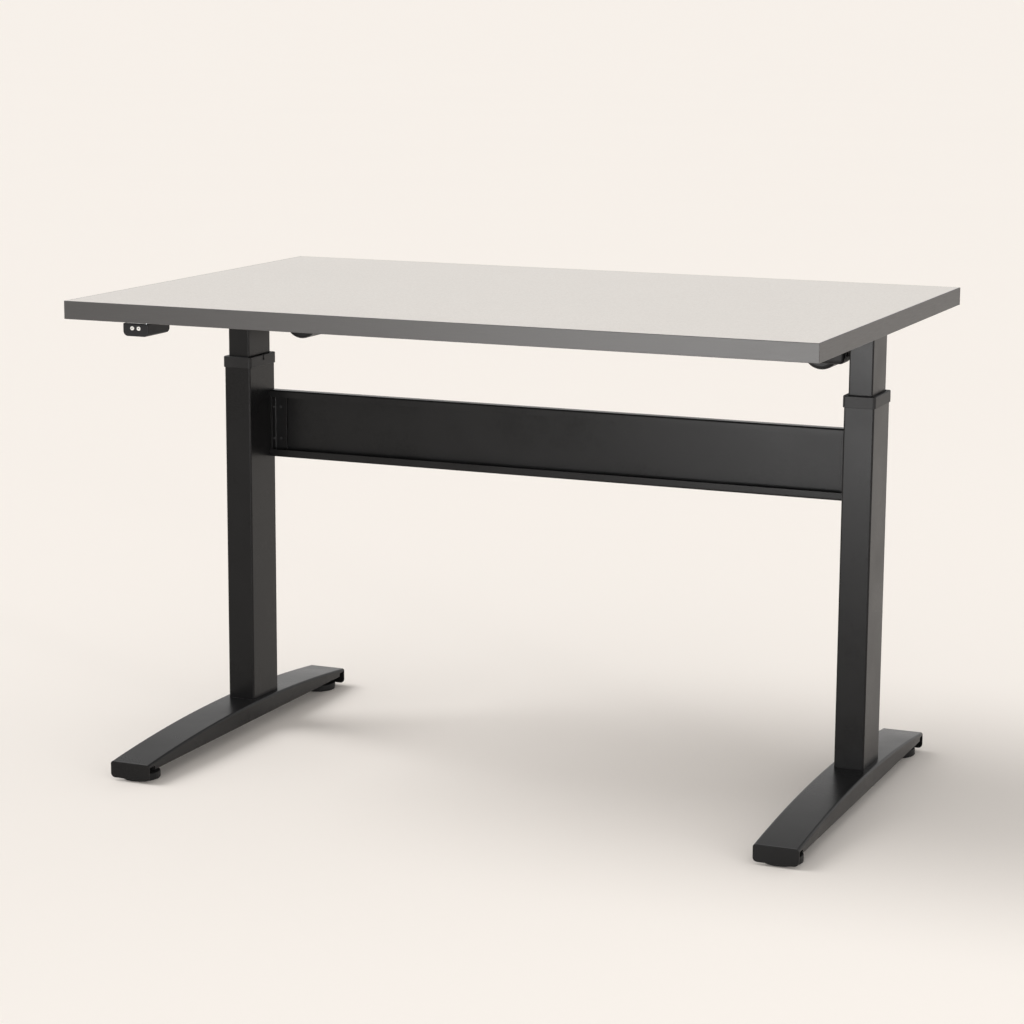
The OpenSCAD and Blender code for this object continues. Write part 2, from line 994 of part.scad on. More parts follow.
module motor_magnets() {
    gap = 1;
    color([0.3, 0.3, 0.32])
        both_sides()
            translate([motor_x, motor_front + 18, motor_z])
                rotate([-90, 0, 0])
                    difference() {
                        ring(motor_r - can_wall - seat_gap, rotor_r + gap, 0, motor_len - 46);
                        translate([-2, -motor_r, -1])
                            cube([4, 2 * motor_r, motor_len]);
                    }
}

// ---------- control box ----------

module control_box() {
    color(dark_plastic)
        translate([0, ctrl_y, 0])
            difference() {
                union() {
                    translate([0, 0, ctrl_bot])
                        linear_extrude(ctrl_h - ctrl_wall)
                            rrect(ctrl_w, ctrl_d, 6);
                    for (s = [-1, 1])
                        translate([s * (ctrl_w / 2 + ctrl_lug / 2 - 1), 0, under_z - 6])
                            linear_extrude(6)
                                rrect(ctrl_lug + 2, 30, 4);
                }
                translate([0, 0, ctrl_bot + ctrl_wall])
                    linear_extrude(ctrl_h)
                        rrect(ctrl_w - 2 * ctrl_wall, ctrl_d - 2 * ctrl_wall, 4);
                for (s = [-1, 1])
                    translate([s * (ctrl_w / 2 + ctrl_lug / 2), 0, under_z - 8])
                        cylinder(r = ctrl_screw_r + 0.3, h = 10);
                inlet_cut();
                for (x = socket_x)
                    translate([x, -ctrl_d / 2, socket_z])
                        cube([socket_w, 3 * ctrl_wall, socket_h], center = true);
            }
}

inlet_w = 28;
inlet_h = 22;
socket_w = 16;
socket_h = 12;
socket_x = [-80, -50, -20, 10];
socket_z = ctrl_bot + 16;
inlet_z = ctrl_bot + 17;
inlet_x = ctrl_w / 2 - 45;

module inlet_cut() {
    translate([inlet_x, -ctrl_d / 2, inlet_z])
        cube([inlet_w, 3 * ctrl_wall, inlet_h], center = true);
}

module control_lid() {
    color(dark_plastic)
        translate([0, ctrl_y, under_z - ctrl_wall])
            linear_extrude(ctrl_wall)
                rrect(ctrl_w - 2 * ctrl_wall, ctrl_d, 6);
}

module control_board() {
    color(board_green)
        translate([0, ctrl_y + 3, ctrl_bot + ctrl_wall]) {
            for (x = [-1, 1], y = [-1, 1])
                translate([x * (ctrl_w / 2 - 14), y * (ctrl_d / 2 - 14), 0])
                    cylinder(r = 3, h = 4.5);
            translate([0, 0, 5.2])
                cube([ctrl_w - 16, ctrl_d - 20, 1.6], center = true);
            translate([ctrl_w / 2 - 70, 8, 5.5])
                cylinder(r = 11, h = 18);
            translate([-60, 6, 5.5])
                cube([40, 30, 16]);
        }
}

// Two-pin-and-earth appliance inlet
module power_inlet() {
    clear = 0.2;
    color(dark_plastic)
        translate([inlet_x, ctrl_y - ctrl_d / 2, inlet_z])
            difference() {
                union() {
                    translate([0, 5, 0])
                        cube([inlet_w - 2 * clear, 12, inlet_h - 2 * clear], center = true);
                    translate([0, -1, 0])
                        cube([inlet_w + 4, 2, inlet_h + 4], center = true);
                }
                translate([0, 2, 0])
                    cube([inlet_w - 6, 12, inlet_h - 6], center = true);
                for (x = [-7, 0, 7])
                    translate([x, 11, 0])
                        rotate([90, 0, 0])
                            cylinder(r = 0.8, h = 2);
            }
}

module control_sockets() {
    clear = 0.2;
    color(dark_plastic)
        for (x = socket_x)
            translate([x, ctrl_y - ctrl_d / 2, socket_z])
                difference() {
                    translate([0, 4, 0])
                        cube([socket_w - 2 * clear, 8, socket_h - 2 * clear], center = true);
                    translate([0, 2, 0])
                        cube([socket_w - 5, 7, socket_h - 4.5], center = true);
                }
}

module control_screws() {
    color(zinc)
        for (s = [-1, 1])
            translate([s * (ctrl_w / 2 + ctrl_lug / 2), ctrl_y, under_z - 6])
                bolt(ctrl_screw_r, 18, 4.2, 2.2, 1.6);
}

// ---------- handset ----------

// Front outline: flat top, large lower corner radii
module handset_outline(inset) {
    w = hand_w - 2 * inset;
    h = hand_h - hand_plate - 2 * inset;
    r = handset_r - inset;
    translate([-w / 2 + r, 0])
        square([w - 2 * r, h]);
    translate([-w / 2, r])
        square([w, h - r]);
    for (s = [-1, 1])
        translate([s * (w / 2 - r), r])
            circle(r = r);
}

module button_places() {
    for (s = [-1, 1])
        translate([hand_x + s * button_span / 2, hand_y, button_z])
            rotate([-90, 0, 0])
                children();
}

module handset_case() {
    z0 = under_z - hand_h;
    color(dark_plastic)
        difference() {
            translate([hand_x, hand_y + hand_d, z0])
                rotate([90, 0, 0])
                    linear_extrude(hand_d)
                        handset_outline(0);
            translate([hand_x, hand_y + hand_d - hand_wall, z0 + hand_wall])
                rotate([90, 0, 0])
                    linear_extrude(hand_d - 2 * hand_wall)
                        handset_outline(hand_wall);
            translate([0, -1, 0])
                button_places()
                    cylinder(r = button_r + 0.3, h = hand_wall + 2);
            for (y = [12, hand_d - 12])
                translate([hand_x, hand_y + y, under_z - hand_h - 1])
                    cylinder(r = 3.6, h = hand_h - 5);
            for (y = [12, hand_d - 12])
                translate([hand_x, hand_y + y, under_z - 8])
                    cylinder(r = 1.8, h = 10);
        }
}

module handset_mount() {
    color(zinc)
        difference() {
            translate([hand_x, hand_y + hand_d / 2, under_z - hand_plate])
                linear_extrude(hand_plate)
                    rrect(hand_w - 4, hand_d - 6, 4);
            for (y = [12, hand_d - 12])
                translate([hand_x, hand_y + y, under_z - 8])
                    cylinder(r = 1.8, h = 10);
        }
}

module button(s) {
    color(top_grey)
        translate([hand_x + s * button_span / 2, hand_y, button_z])
            rotate([-90, 0, 0]) {
                translate([0, 0, -button_out])
                    cylinder(r = button_r, h = button_out + hand_wall + slide_gap);
                translate([0, 0, hand_wall + slide_gap])
                    cylinder(r = button_r + 1.2, h = 1.2);
            }
}

module button_up() {
    button(-1);
}

module button_down() {
    button(1);
}

// Small board with the two switches the buttons press
module handset_board() {
    z0 = under_z - hand_h + hand_wall + 1;
    switch_y = hand_wall + slide_gap + 1.2 + button_travel + slide_gap;
    color(board_green) {
        translate([hand_x - 14, hand_y + switch_y + 2, z0 + 2])
            cube([28, 1.6, 12]);
        button_places()
            translate([0, 0, switch_y])
                cylinder(r = 1.6, h = 2 + eps);
        for (s = [-1, 1])
            translate([hand_x + s * 11 - 1.5, hand_y + hand_wall, z0 - 1])
                cube([3, switch_y + 2, 3.1]);
    }
}

// ---------- worktop ----------

module worktop_core() {
    color(board_brown)
        difference() {
            translate([-core_w / 2, -core_d / 2, under_z + backer_t])
                cube([core_w, core_d, top_t - backer_t - laminate_t]);
            screw_holes();
        }
}

// Pilot holes for everything that is screwed up into the top
module screw_holes() {
    mid = (tray_in + tray_out) / 2;
    half = (tray_out - tray_in) / 2;
    for (side = [-1, 1], s = [-1, 1], y = lip_screw_y)
        translate([side * (mid + s * (half + tray_lip / 2)), y, under_z - 1])
            cylinder(r = wood_screw_r, h = wood_screw_len + 1);
    for (s = [-1, 1])
        translate([s * (ctrl_w / 2 + ctrl_lug / 2), ctrl_y, under_z - 1])
            cylinder(r = ctrl_screw_r, h = 13);
}

module worktop_laminate() {
    color(top_grey)
        translate([-core_w / 2, -core_d / 2, desk_h - laminate_t])
            cube([core_w, core_d, laminate_t]);
}

module worktop_backer() {
    color(edge_grey)
        difference() {
            translate([-core_w / 2, -core_d / 2, under_z])
                cube([core_w, core_d, backer_t]);
            screw_holes();
        }
}

// Strip with its two long outer arrises eased
module band_profile() {
    polygon([[0, 0], [band_t - band_ease, 0], [band_t, band_ease],
        [band_t, top_t - band_ease], [band_t - band_ease, top_t], [0, top_t]]);
}

module band_strip(len) {
    rotate([90, 0, 0])
        translate([0, 0, -len / 2])
            linear_extrude(len)
                band_profile();
}

module edge_bands() {
    color(edge_grey)
        translate([0, 0, under_z]) {
            for (s = [0, 180])
                rotate(s)
                    translate([core_w / 2, 0, 0])
                        band_strip(core_d);
            for (s = [90, 270])
                rotate(s)
                    translate([core_d / 2, 0, 0])
                        band_strip(top_w);
        }
}

foot_left();
foot_right();
column_blocks();
foot_bolts();
glide_inserts();
glide_pad_front_left();
glide_pad_front_right();
glide_pad_rear_left();
glide_pad_rear_right();
glide_stud_front_left();
glide_stud_front_right();
glide_stud_rear_left();
glide_stud_rear_right();
column_lower_left();
column_lower_right();
collar_left();
collar_right();
guide_bushes();
crossbar();
crossbar_ends();
crossbar_bolts();
push_tubes();
drive_nuts();
column_upper_left();
column_upper_right();
slide_shoes();
head_blocks();
spindle_bearings();
head_screws();
support_tray_left();
support_tray_right();
tray_screws();
gearbox_left();
gearbox_right();
gear_bushes();
layshaft_left();
layshaft_right();
spindle_left();
spindle_right();
motor_housing_left();
motor_housing_right();
motor_caps();
motor_magnets();
rotor_left();
rotor_right();
control_box();
control_lid();
control_board();
power_inlet();
control_sockets();
control_screws();
handset_case();
handset_mount();
button_up();
button_down();
handset_board();
worktop_core();
worktop_laminate();
worktop_backer();
edge_bands();
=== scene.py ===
import logging
import math
from dataclasses import dataclass, field
from enum import Enum
from functools import lru_cache
from typing import Any, Callable, Iterable, Protocol, Sequence

import bmesh
import bpy
from mathutils import Matrix, Vector


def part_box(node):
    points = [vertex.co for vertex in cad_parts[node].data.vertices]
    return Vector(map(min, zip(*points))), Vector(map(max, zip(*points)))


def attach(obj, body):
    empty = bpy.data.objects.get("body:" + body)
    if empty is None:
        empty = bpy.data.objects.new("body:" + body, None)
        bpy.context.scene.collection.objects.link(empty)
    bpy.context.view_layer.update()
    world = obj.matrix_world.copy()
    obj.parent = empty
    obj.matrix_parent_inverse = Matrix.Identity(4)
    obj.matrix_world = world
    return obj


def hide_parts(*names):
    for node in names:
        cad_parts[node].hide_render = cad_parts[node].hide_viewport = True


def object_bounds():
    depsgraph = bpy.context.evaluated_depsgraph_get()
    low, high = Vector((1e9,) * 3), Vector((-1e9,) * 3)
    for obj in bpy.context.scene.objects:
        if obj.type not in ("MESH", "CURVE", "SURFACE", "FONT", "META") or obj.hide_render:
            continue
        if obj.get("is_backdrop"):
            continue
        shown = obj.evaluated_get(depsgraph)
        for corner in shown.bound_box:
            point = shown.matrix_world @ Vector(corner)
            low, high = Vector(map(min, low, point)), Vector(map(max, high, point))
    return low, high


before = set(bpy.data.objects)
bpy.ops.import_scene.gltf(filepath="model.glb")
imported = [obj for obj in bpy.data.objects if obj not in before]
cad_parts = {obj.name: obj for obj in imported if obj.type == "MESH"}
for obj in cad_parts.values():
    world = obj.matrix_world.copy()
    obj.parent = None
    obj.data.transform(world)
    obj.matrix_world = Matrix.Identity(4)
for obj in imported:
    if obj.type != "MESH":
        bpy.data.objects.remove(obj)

log = logging.getLogger("desk")
logging.basicConfig(level=logging.INFO, format="%(name)s: %(message)s")

MM = 0.001
WELD = 1e-6
SHARP = math.radians(32)
HEXAGON = 6
Colour = tuple[float, float, float]
Place = tuple[float, float, float]
Point = tuple[float, float]
Box = tuple[Vector, Vector]
Socket = bpy.types.NodeSocket
Object = bpy.types.Object
Pieces = list[Object]


class Named(Enum):
    """Options whose names are parts of node names."""

    @property
    def word(self) -> str:
        """The option's name as the nodes spell it."""
        return self.name.lower()


class Side(Named):
    """Which of the two columns a piece belongs to."""

    LEFT = -1
    RIGHT = 1


class End(Named):
    """Which end of a foot a piece belongs to."""

    FRONT = -1
    REAR = 1


class Axis(Enum):
    """The direction that an outline is drawn out along."""

    X = 0
    Y = 1
    Z = 2

    def point(self, u: float, v: float, along: float) -> Vector:
        """Place an outline point in space.

        Args:
            u: First coordinate in the outline's plane.
            v: Second coordinate in the outline's plane.
            along: Distance along the axis.

        Returns:
            The point, with u and v on the other two axes in order.
        """
        place = [u, v]
        place.insert(self.value, along)
        return Vector(place)


# ---------- finishes ----------


class Recipe:
    """One material's node tree, with short calls for what the finishes share."""

    def __init__(self, name: str, **sockets: float) -> None:
        """Start a material with a Principled shader.

        Args:
            name: The material's name.
            sockets: Constant values for the shader, spaces written as underscores.
        """
        self.material = bpy.data.materials.new(name)
        self.material.use_nodes = True
        self.nodes = self.material.node_tree.nodes
        self.links = self.material.node_tree.links
        self.nodes.clear()
        self.shader = self.nodes.new("ShaderNodeBsdfPrincipled")
        output = self.nodes.new("ShaderNodeOutputMaterial")
        self.links.new(self.shader.outputs[0], output.inputs[0])
        for key, value in sockets.items():
            self.shader.inputs[key.replace("_", " ")].default_value = value

    def node(self, kind: str, inputs: dict[str | int, Any] | None = None,
             **settings: str) -> bpy.types.Node:
        """Add a shader node.

        Args:
            kind: The node's type after the common prefix.
            inputs: Values or sockets for its inputs.
            settings: Properties of the node itself.

        Returns:
            The new node.
        """
        made = self.nodes.new("ShaderNode" + kind)
        for key, value in settings.items():
            setattr(made, key, value)
        for key, value in (inputs or {}).items():
            if isinstance(value, Socket):
                self.links.new(value, made.inputs[key])
            else:
                made.inputs[key].default_value = value
        return made

    def place(self, stretch: Place = (1, 1, 1)) -> Socket:
        """The piece's own coordinates, stretched along its axes."""
        spot = self.node("TexCoord").outputs["Object"]
        return self.node("Mapping", {"Vector": spot, "Scale": stretch}).outputs[0]

    def noise(self, size: float, detail: float = 2.0, stretch: Place = (1, 1, 1),
              rough: float = 0.5) -> Socket:
        """Cloudy noise.

        Args:
            size: Size of its largest features in metres.
            detail: Number of finer octaves.
            stretch: Scale of the coordinates along each axis.
            rough: Weight of the finer octaves.

        Returns:
            The noise value's socket.
        """
        inputs = {"Vector": self.place(stretch), "Scale": 1 / size, "Detail": detail,
                  "Roughness": rough}
        return self.node("TexNoise", inputs).outputs[0]

    def cells(self, size: float, feature: str = "F1", output: str = "Color",
              stretch: Place = (1, 1, 1)) -> Socket:
        """Cell pattern whose cells measure about size metres."""
        inputs = {"Vector": self.place(stretch), "Scale": 1 / size}
        return self.node("TexVoronoi", inputs, feature=feature).outputs[output]

    def levels(self, value: Socket, low: float, high: float, bottom: float = 0.0,
               top: float = 1.0) -> Socket:
        """Map the span low..high of a value onto bottom..top, clamped."""
        inputs = {0: value, 1: low, 2: high, 3: bottom, 4: top}
        return self.node("MapRange", inputs).outputs[0]

    def blend(self, factor: Socket, first: Colour | Socket, second: Colour) -> Socket:
        """Mix two colours by a factor."""
        inputs = {0: factor, 7: (*second, 1.0)}
        inputs[6] = (*first, 1.0) if isinstance(first, tuple) else first
        return self.node("Mix", inputs, data_type="RGBA").outputs[2]

    def add(self, first: Socket, second: Socket, share: float = 1.0) -> Socket:
        """The sum of one value and a share of another."""
        inputs = {0: second, 1: share, 2: first}
        return self.node("Math", inputs, operation="MULTIPLY_ADD").outputs[0]

    def colour(self, factor: Socket, first: Colour | Socket, second: Colour) -> None:
        """Feed the base colour with a blend."""
        self.links.new(self.blend(factor, first, second), self.shader.inputs["Base Color"])

    def shades(self, factor: Socket, colour: Colour, dark: float, light: float = 1.0) -> None:
        """Feed the base colour with shades of one colour."""
        self.colour(factor, scaled(colour, dark), scaled(colour, light))

    def roughness(self, value: Socket, low: float, high: float, bottom: float,
                  top: float) -> None:
        """Feed the roughness with the span low..high of a value mapped onto bottom..top."""
        mapped = self.levels(value, low, high, bottom, top)
        self.links.new(mapped, self.shader.inputs["Roughness"])

    def relief(self, height: Socket, depth: float, strength: float) -> None:
        """Raise the surface by a height map whose full relief is depth metres."""
        inputs = {"Height": height, "Distance": depth, "Strength": strength}
        self.links.new(self.node("Bump", inputs).outputs[0], self.shader.inputs["Normal"])


def scaled(colour: Colour, factor: float) -> Colour:
    """A colour made darker or lighter."""
    return (colour[0] * factor, colour[1] * factor, colour[2] * factor)


@dataclass(frozen=True)
class Finish:
    """A surface with its name and its main colour."""

    name: str
    colour: Colour

    def build(self) -> bpy.types.Material:
        """Make the material, each kind of finish in its own way."""
        raise NotImplementedError


@lru_cache(maxsize=None)
def material_of(finish: Finish) -> bpy.types.Material:
    """The finish's material, made once."""
    return finish.build()


@dataclass(frozen=True)
class PowderCoat(Finish):
    """Baked powder coat: fine orange peel over flat pigment."""

    roughness: float = 0.36
    sheen: float = 0.18
    peel: float = 1.6 * MM
    peel_depth: float = 0.012 * MM
    grit: float = 0.35 * MM

    def build(self) -> bpy.types.Material:
        """Make the coat with peel, grit and faint cloudiness."""
        mix = Recipe(self.name, IOR=1.5, Specular_IOR_Level=self.sheen)
        cloud = mix.noise(0.09, 3)
        grain = mix.levels(mix.cells(self.grit), 0.2, 0.9)
        mix.shades(mix.add(mix.levels(cloud, 0.3, 0.7, 0.0, 0.7), grain, 0.3),
                   self.colour, 0.82, 1.2)
        mix.roughness(mix.add(cloud, grain, 0.25), 0.3, 0.95, self.roughness - 0.05, self.roughness + 0.06)
        peel = mix.add(mix.noise(self.peel, 1), mix.noise(self.grit, 1), 0.25)
        mix.relief(peel, self.peel_depth, 0.8)
        return mix.material


@dataclass(frozen=True)
class MouldedPlastic(Finish):
    """Injection moulding with a spark-eroded skin and faint flow marks."""

    roughness: float = 0.5
    texture: float = 0.55 * MM
    depth: float = 0.02 * MM
    sheen: float = 0.25

    def build(self) -> bpy.types.Material:
        """Make the plastic with its eroded texture."""
        mix = Recipe(self.name, IOR=1.48, Specular_IOR_Level=self.sheen)
        flow = mix.noise(0.03, 3, (1, 1, 0.35))
        pits = mix.cells(self.texture, "SMOOTH_F1", "Distance")
        skin = mix.add(pits, mix.noise(self.texture * 0.6, 2), 0.6)
        mix.shades(mix.levels(mix.add(flow, pits, 0.15), 0.35, 0.8), self.colour, 0.86, 1.14)
        mix.roughness(skin, 0.2, 1.1, self.roughness - 0.06, self.roughness + 0.08)
        mix.relief(skin, self.depth, 0.7)
        return mix.material


@dataclass(frozen=True)
class LaminateFace(Finish):
    """High-pressure laminate: a printed linen-fine fleck under a matt skin."""

    fleck: Colour
    roughness: float = 0.5

    def build(self) -> bpy.types.Material:
        """Make the decor with fine flecks, faint brushing and soft clouds."""
        mix = Recipe(self.name, IOR=1.45)
        cloud = mix.noise(0.22, 4)
        fibre = mix.noise(1.1 * MM, 3, (0.18, 1, 1), 0.65)
        fleck = mix.levels(mix.cells(1.4 * MM, stretch=(0.6, 1, 1)), 0.1, 0.9)
        decor = mix.add(mix.add(mix.levels(fibre, 0.3, 0.72), fleck, 0.5), cloud, 0.35)
        mix.colour(mix.levels(decor, 0.35, 1.35), self.colour, self.fleck)
        mix.roughness(mix.add(fibre, cloud, 0.4), 0.45, 0.95, self.roughness - 0.05, self.roughness + 0.07)
        mix.relief(mix.add(mix.noise(0.5 * MM, 2), fibre, 0.8), 0.01 * MM, 0.6)
        return mix.material


@dataclass(frozen=True)
class EdgeStrip(Finish):
    """Extruded edge band: fine lines along its length and a matt face."""

    roughness: float = 0.42
    stretch: Place = (0.02, 0.02, 1)

    def build(self) -> bpy.types.Material:
        """Make the band with its drawn lines and speckle."""
        mix = Recipe(self.name, IOR=1.5)
        drawn = mix.noise(0.8 * MM, 3, self.stretch, 0.6)
        speck = mix.levels(mix.cells(0.9 * MM), 0.1, 0.9)
        mix.shades(mix.add(mix.levels(drawn, 0.3, 0.7, 0, 0.7), speck, 0.3), self.colour, 0.9, 1.1)
        mix.roughness(drawn, 0.3, 0.7, self.roughness - 0.04, self.roughness + 0.06)
        mix.relief(mix.add(drawn, mix.noise(0.5 * MM, 1), 0.5), 0.012 * MM, 0.6)
        return mix.material


@dataclass(frozen=True)
class PlatedSteel(Finish):
    """Zinc or black plate on steel: spangle and handling marks."""

    roughness: float = 0.3
    metallic: float = 1.0

    def build(self) -> bpy.types.Material:
        """Make the plate with faint clouded crystals."""
        mix = Recipe(self.name, Metallic=self.metallic)
        crystal = mix.levels(mix.cells(2.2 * MM), 0.1, 0.9, 0, 0.5)
        haze = mix.noise(6 * MM, 4)
        mix.shades(mix.levels(mix.add(crystal, haze, 0.6), 0.1, 0.9), self.colour, 0.78)
        mix.roughness(haze, 0.3, 0.75, self.roughness - 0.08, self.roughness + 0.16)
        mix.relief(mix.noise(0.5 * MM, 3), 0.01 * MM, 0.6)
        return mix.material


@dataclass(frozen=True)
class TurnedSteel(Finish):
    """Bright machined steel with tool rings square to its axis."""

    stretch: Place = (0.06, 0.06, 1)
    roughness: float = 0.27

    def build(self) -> bpy.types.Material:
        """Make the steel with tool marks and a thin oily haze."""
        mix = Recipe(self.name, Metallic=1.0)
        rings = mix.noise(0.45 * MM, 3, self.stretch, 0.7)
        haze = mix.noise(9 * MM, 3)
        mix.shades(mix.add(rings, haze, 0.4), self.colour, 0.72)
        mix.roughness(mix.add(rings, haze, 0.6), 0.4, 1.1, self.roughness - 0.07, self.roughness + 0.15)
        mix.relief(rings, 0.012 * MM, 0.7)
        return mix.material


@dataclass(frozen=True)
class CastAlloy(Finish):
    """Painted pressure casting: pebbled skin with a soft sheen."""

    roughness: float = 0.45
    sheen: float = 0.25

    def build(self) -> bpy.types.Material:
        """Make the casting's skin."""
        mix = Recipe(self.name, IOR=1.5, Specular_IOR_Level=self.sheen)
        pebble = mix.cells(1.3 * MM, "SMOOTH_F1", "Distance")
        flow = mix.noise(0.02, 4)
        mix.shades(mix.add(flow, pebble, 0.3), self.colour, 0.8, 1.15)
        mix.roughness(mix.add(flow, pebble, 0.5), 0.3, 1.0, self.roughness - 0.06, self.roughness + 0.1)
        mix.relief(mix.add(pebble, flow, 0.3), 0.04 * MM, 0.7)
        return mix.material


@dataclass(frozen=True)
class Acetal(Finish):
    """Natural acetal: waxy, slightly see-through white."""

    def build(self) -> bpy.types.Material:
        """Make the acetal with faint swirls."""
        mix = Recipe(self.name, IOR=1.48, Subsurface_Weight=0.12, Subsurface_Scale=0.002)
        swirl = mix.noise(7 * MM, 4, (1, 1, 0.5))
        mix.shades(swirl, self.colour, 0.9)
        mix.roughness(swirl, 0.3, 0.7, 0.32, 0.44)
        mix.relief(mix.noise(0.6 * MM, 2), 0.012 * MM, 0.5)
        return mix.material


@dataclass(frozen=True)
class ChipBoard(Finish):
    """Three-layer chipboard: pressed flakes of several browns."""

    dark: Colour
    flake: float = 3.2 * MM
    stretch: Place = (0.5, 1, 1.6)

    def build(self) -> bpy.types.Material:
        """Make the board of flakes and dust between them."""
        mix = Recipe(self.name, IOR=1.45)
        flakes = mix.levels(mix.cells(self.flake, stretch=self.stretch), 0.1, 0.9, 0, 0.7)
        edges = mix.cells(self.flake, "DISTANCE_TO_EDGE", "Distance", self.stretch)
        dust = mix.noise(0.9 * MM, 4)
        mix.colour(mix.add(flakes, dust, 0.4), self.dark, self.colour)
        mix.roughness(dust, 0.3, 0.7, 0.72, 0.9)
        mix.relief(mix.add(mix.levels(edges, 0.0, 0.12), dust, 0.4), 0.15 * MM, 0.8)
        return mix.material


@dataclass(frozen=True)
class BackingSheet(Finish):
    """Balancing sheet: phenolic paper with sanding lines."""

    def build(self) -> bpy.types.Material:
        """Make the sheet with mottled paper fibre."""
        mix = Recipe(self.name, IOR=1.45)
        fibre = mix.noise(2.5 * MM, 5, (0.4, 1, 1), 0.6)
        sanded = mix.noise(0.7 * MM, 2, (0.03, 1, 1))
        tone = mix.add(mix.levels(fibre, 0.25, 0.75, 0, 0.75), sanded, 0.35)
        mix.shades(tone, self.colour, 0.82, 1.15)
        mix.roughness(fibre, 0.3, 0.7, 0.55, 0.7)
        mix.relief(mix.add(sanded, fibre, 0.5), 0.02 * MM, 0.6)
        return mix.material


@dataclass(frozen=True)
class SolderMask(Finish):
    """Circuit board: green mask over square-routed copper and pale legend dots."""

    copper: Colour

    def build(self) -> bpy.types.Material:
        """Make the board with tracks under its mask and tinned pads."""
        mix = Recipe(self.name, IOR=1.5, Coat_Weight=0.4, Coat_Roughness=0.12)
        bricks = mix.node("TexBrick", {"Vector": mix.place(), "Scale": 90.0, "Mortar Size": 0.05,
                                       "Mortar Smooth": 0.1, "Bias": 0.0})
        track = mix.levels(bricks.outputs["Fac"], 0.2, 0.8)
        pads = mix.levels(mix.cells(5 * MM, output="Distance"), 0.10, 0.14, 1.0, 0.0)
        mix.colour(pads, mix.blend(track, self.colour, scaled(self.colour, 1.9)), self.copper)
        mix.roughness(mix.noise(3 * MM, 3), 0.3, 0.7, 0.24, 0.36)
        mix.relief(mix.add(track, pads, 1.0), 0.05 * MM, 0.7)
        return mix.material


@dataclass(frozen=True)
class StudioFloor(Finish):
    """Seamless pale paper."""

    def build(self) -> bpy.types.Material:
        """Make the paper with the faintest tooth."""
        mix = Recipe(self.name, Roughness=0.95, Specular_IOR_Level=0.1)
        mix.shades(mix.noise(1.6, 2), self.colour, 0.992)
        return mix.material


PAINT = PowderCoat("frame_paint", (0.0088, 0.0087, 0.0090), 0.3)
COLUMN_PAINT = PowderCoat("column_paint", (0.0086, 0.0085, 0.0088), 0.3)
COLLAR = MouldedPlastic("collar_plastic", (0.0135, 0.0132, 0.0137), 0.42)
GLIDE = MouldedPlastic("glide_plastic", (0.012, 0.012, 0.0125), 0.5)
ZINC = PlatedSteel("zinc_plate", (0.72, 0.73, 0.75))
BLACK_ZINC = PlatedSteel("black_zinc_plate", (0.022, 0.022, 0.024), 0.38, 0.3)
STEEL = TurnedSteel("turned_steel", (0.56, 0.57, 0.59))
STEEL_LENGTHWAYS = TurnedSteel("turned_steel_shaft", (0.56, 0.57, 0.59), (0.06, 1, 0.06))
WHITE_ACETAL = Acetal("natural_acetal", (0.83, 0.82, 0.78))
MOTOR_PLASTIC = CastAlloy("motor_shell", (0.0105, 0.0104, 0.011), 0.42)
GEAR_CASTING = CastAlloy("gearbox_casting", (0.0125, 0.0123, 0.013), 0.48)
FERRITE = CastAlloy("ferrite", (0.055, 0.055, 0.06), 0.65)
CONTROL = MouldedPlastic("control_plastic", (0.022, 0.022, 0.025), 0.52, 0.8 * MM, 0.035 * MM)
SOCKET = MouldedPlastic("socket_plastic", (0.008, 0.008, 0.009), 0.4)
BOARD_GREEN = SolderMask("circuit_board", (0.012, 0.085, 0.04), (0.75, 0.62, 0.36))
HANDSET = MouldedPlastic("handset_plastic", (0.014, 0.014, 0.0155), 0.44)
KEYS = MouldedPlastic("key_plastic", (0.74, 0.73, 0.70), 0.38, 0.4 * MM, 0.008 * MM, 0.5)
KEY_MARK = MouldedPlastic("key_mark", (0.06, 0.06, 0.065), 0.4, 0.4 * MM, 0.008 * MM)
CORE = ChipBoard("chipboard", (0.52, 0.37, 0.22), (0.24, 0.15, 0.08))
DECOR = LaminateFace("laminate_decor", (0.672, 0.632, 0.588), (0.794, 0.758, 0.714))
BACKING = BackingSheet("backing_sheet", (0.20, 0.19, 0.18))
BAND = EdgeStrip("edge_band", (0.061, 0.0588, 0.058))
FELT = MouldedPlastic("wiper_felt", (0.006, 0.006, 0.0065), 0.85, 0.5 * MM, 0.12 * MM)
PAPER = StudioFloor("studio_paper", (0.96, 0.907, 0.852))


# ---------- shapes ----------


def arc(centre: Point, radius: float, start: float, stop: float, steps: int) -> list[Point]:
    """Points along an arc, with both ends.

    Args:
        centre: The arc's centre.
        radius: The arc's radius.
        start: First angle in degrees.
        stop: Last angle in degrees.
        steps: Number of chords.

    Returns:
        The points in order.
    """
    turns = [math.radians(start + (stop - start) * i / steps) for i in range(steps + 1)]
    return [(centre[0] + radius * math.cos(t), centre[1] + radius * math.sin(t)) for t in turns]


def rounded(width: float, depth: float, radius: float, steps: int = 8,
            centre: Point = (0, 0)) -> list[Point]:
    """Outline of a rounded rectangle, anticlockwise from its right side."""
    points: list[Point] = []
    for i, (sx, sy) in enumerate(((1, 1), (-1, 1), (-1, -1), (1, -1))):
        corner = (centre[0] + sx * (width / 2 - radius), centre[1] + sy * (depth / 2 - radius))
        points += arc(corner, radius, 90 * i, 90 * i + 90, steps)
    return points


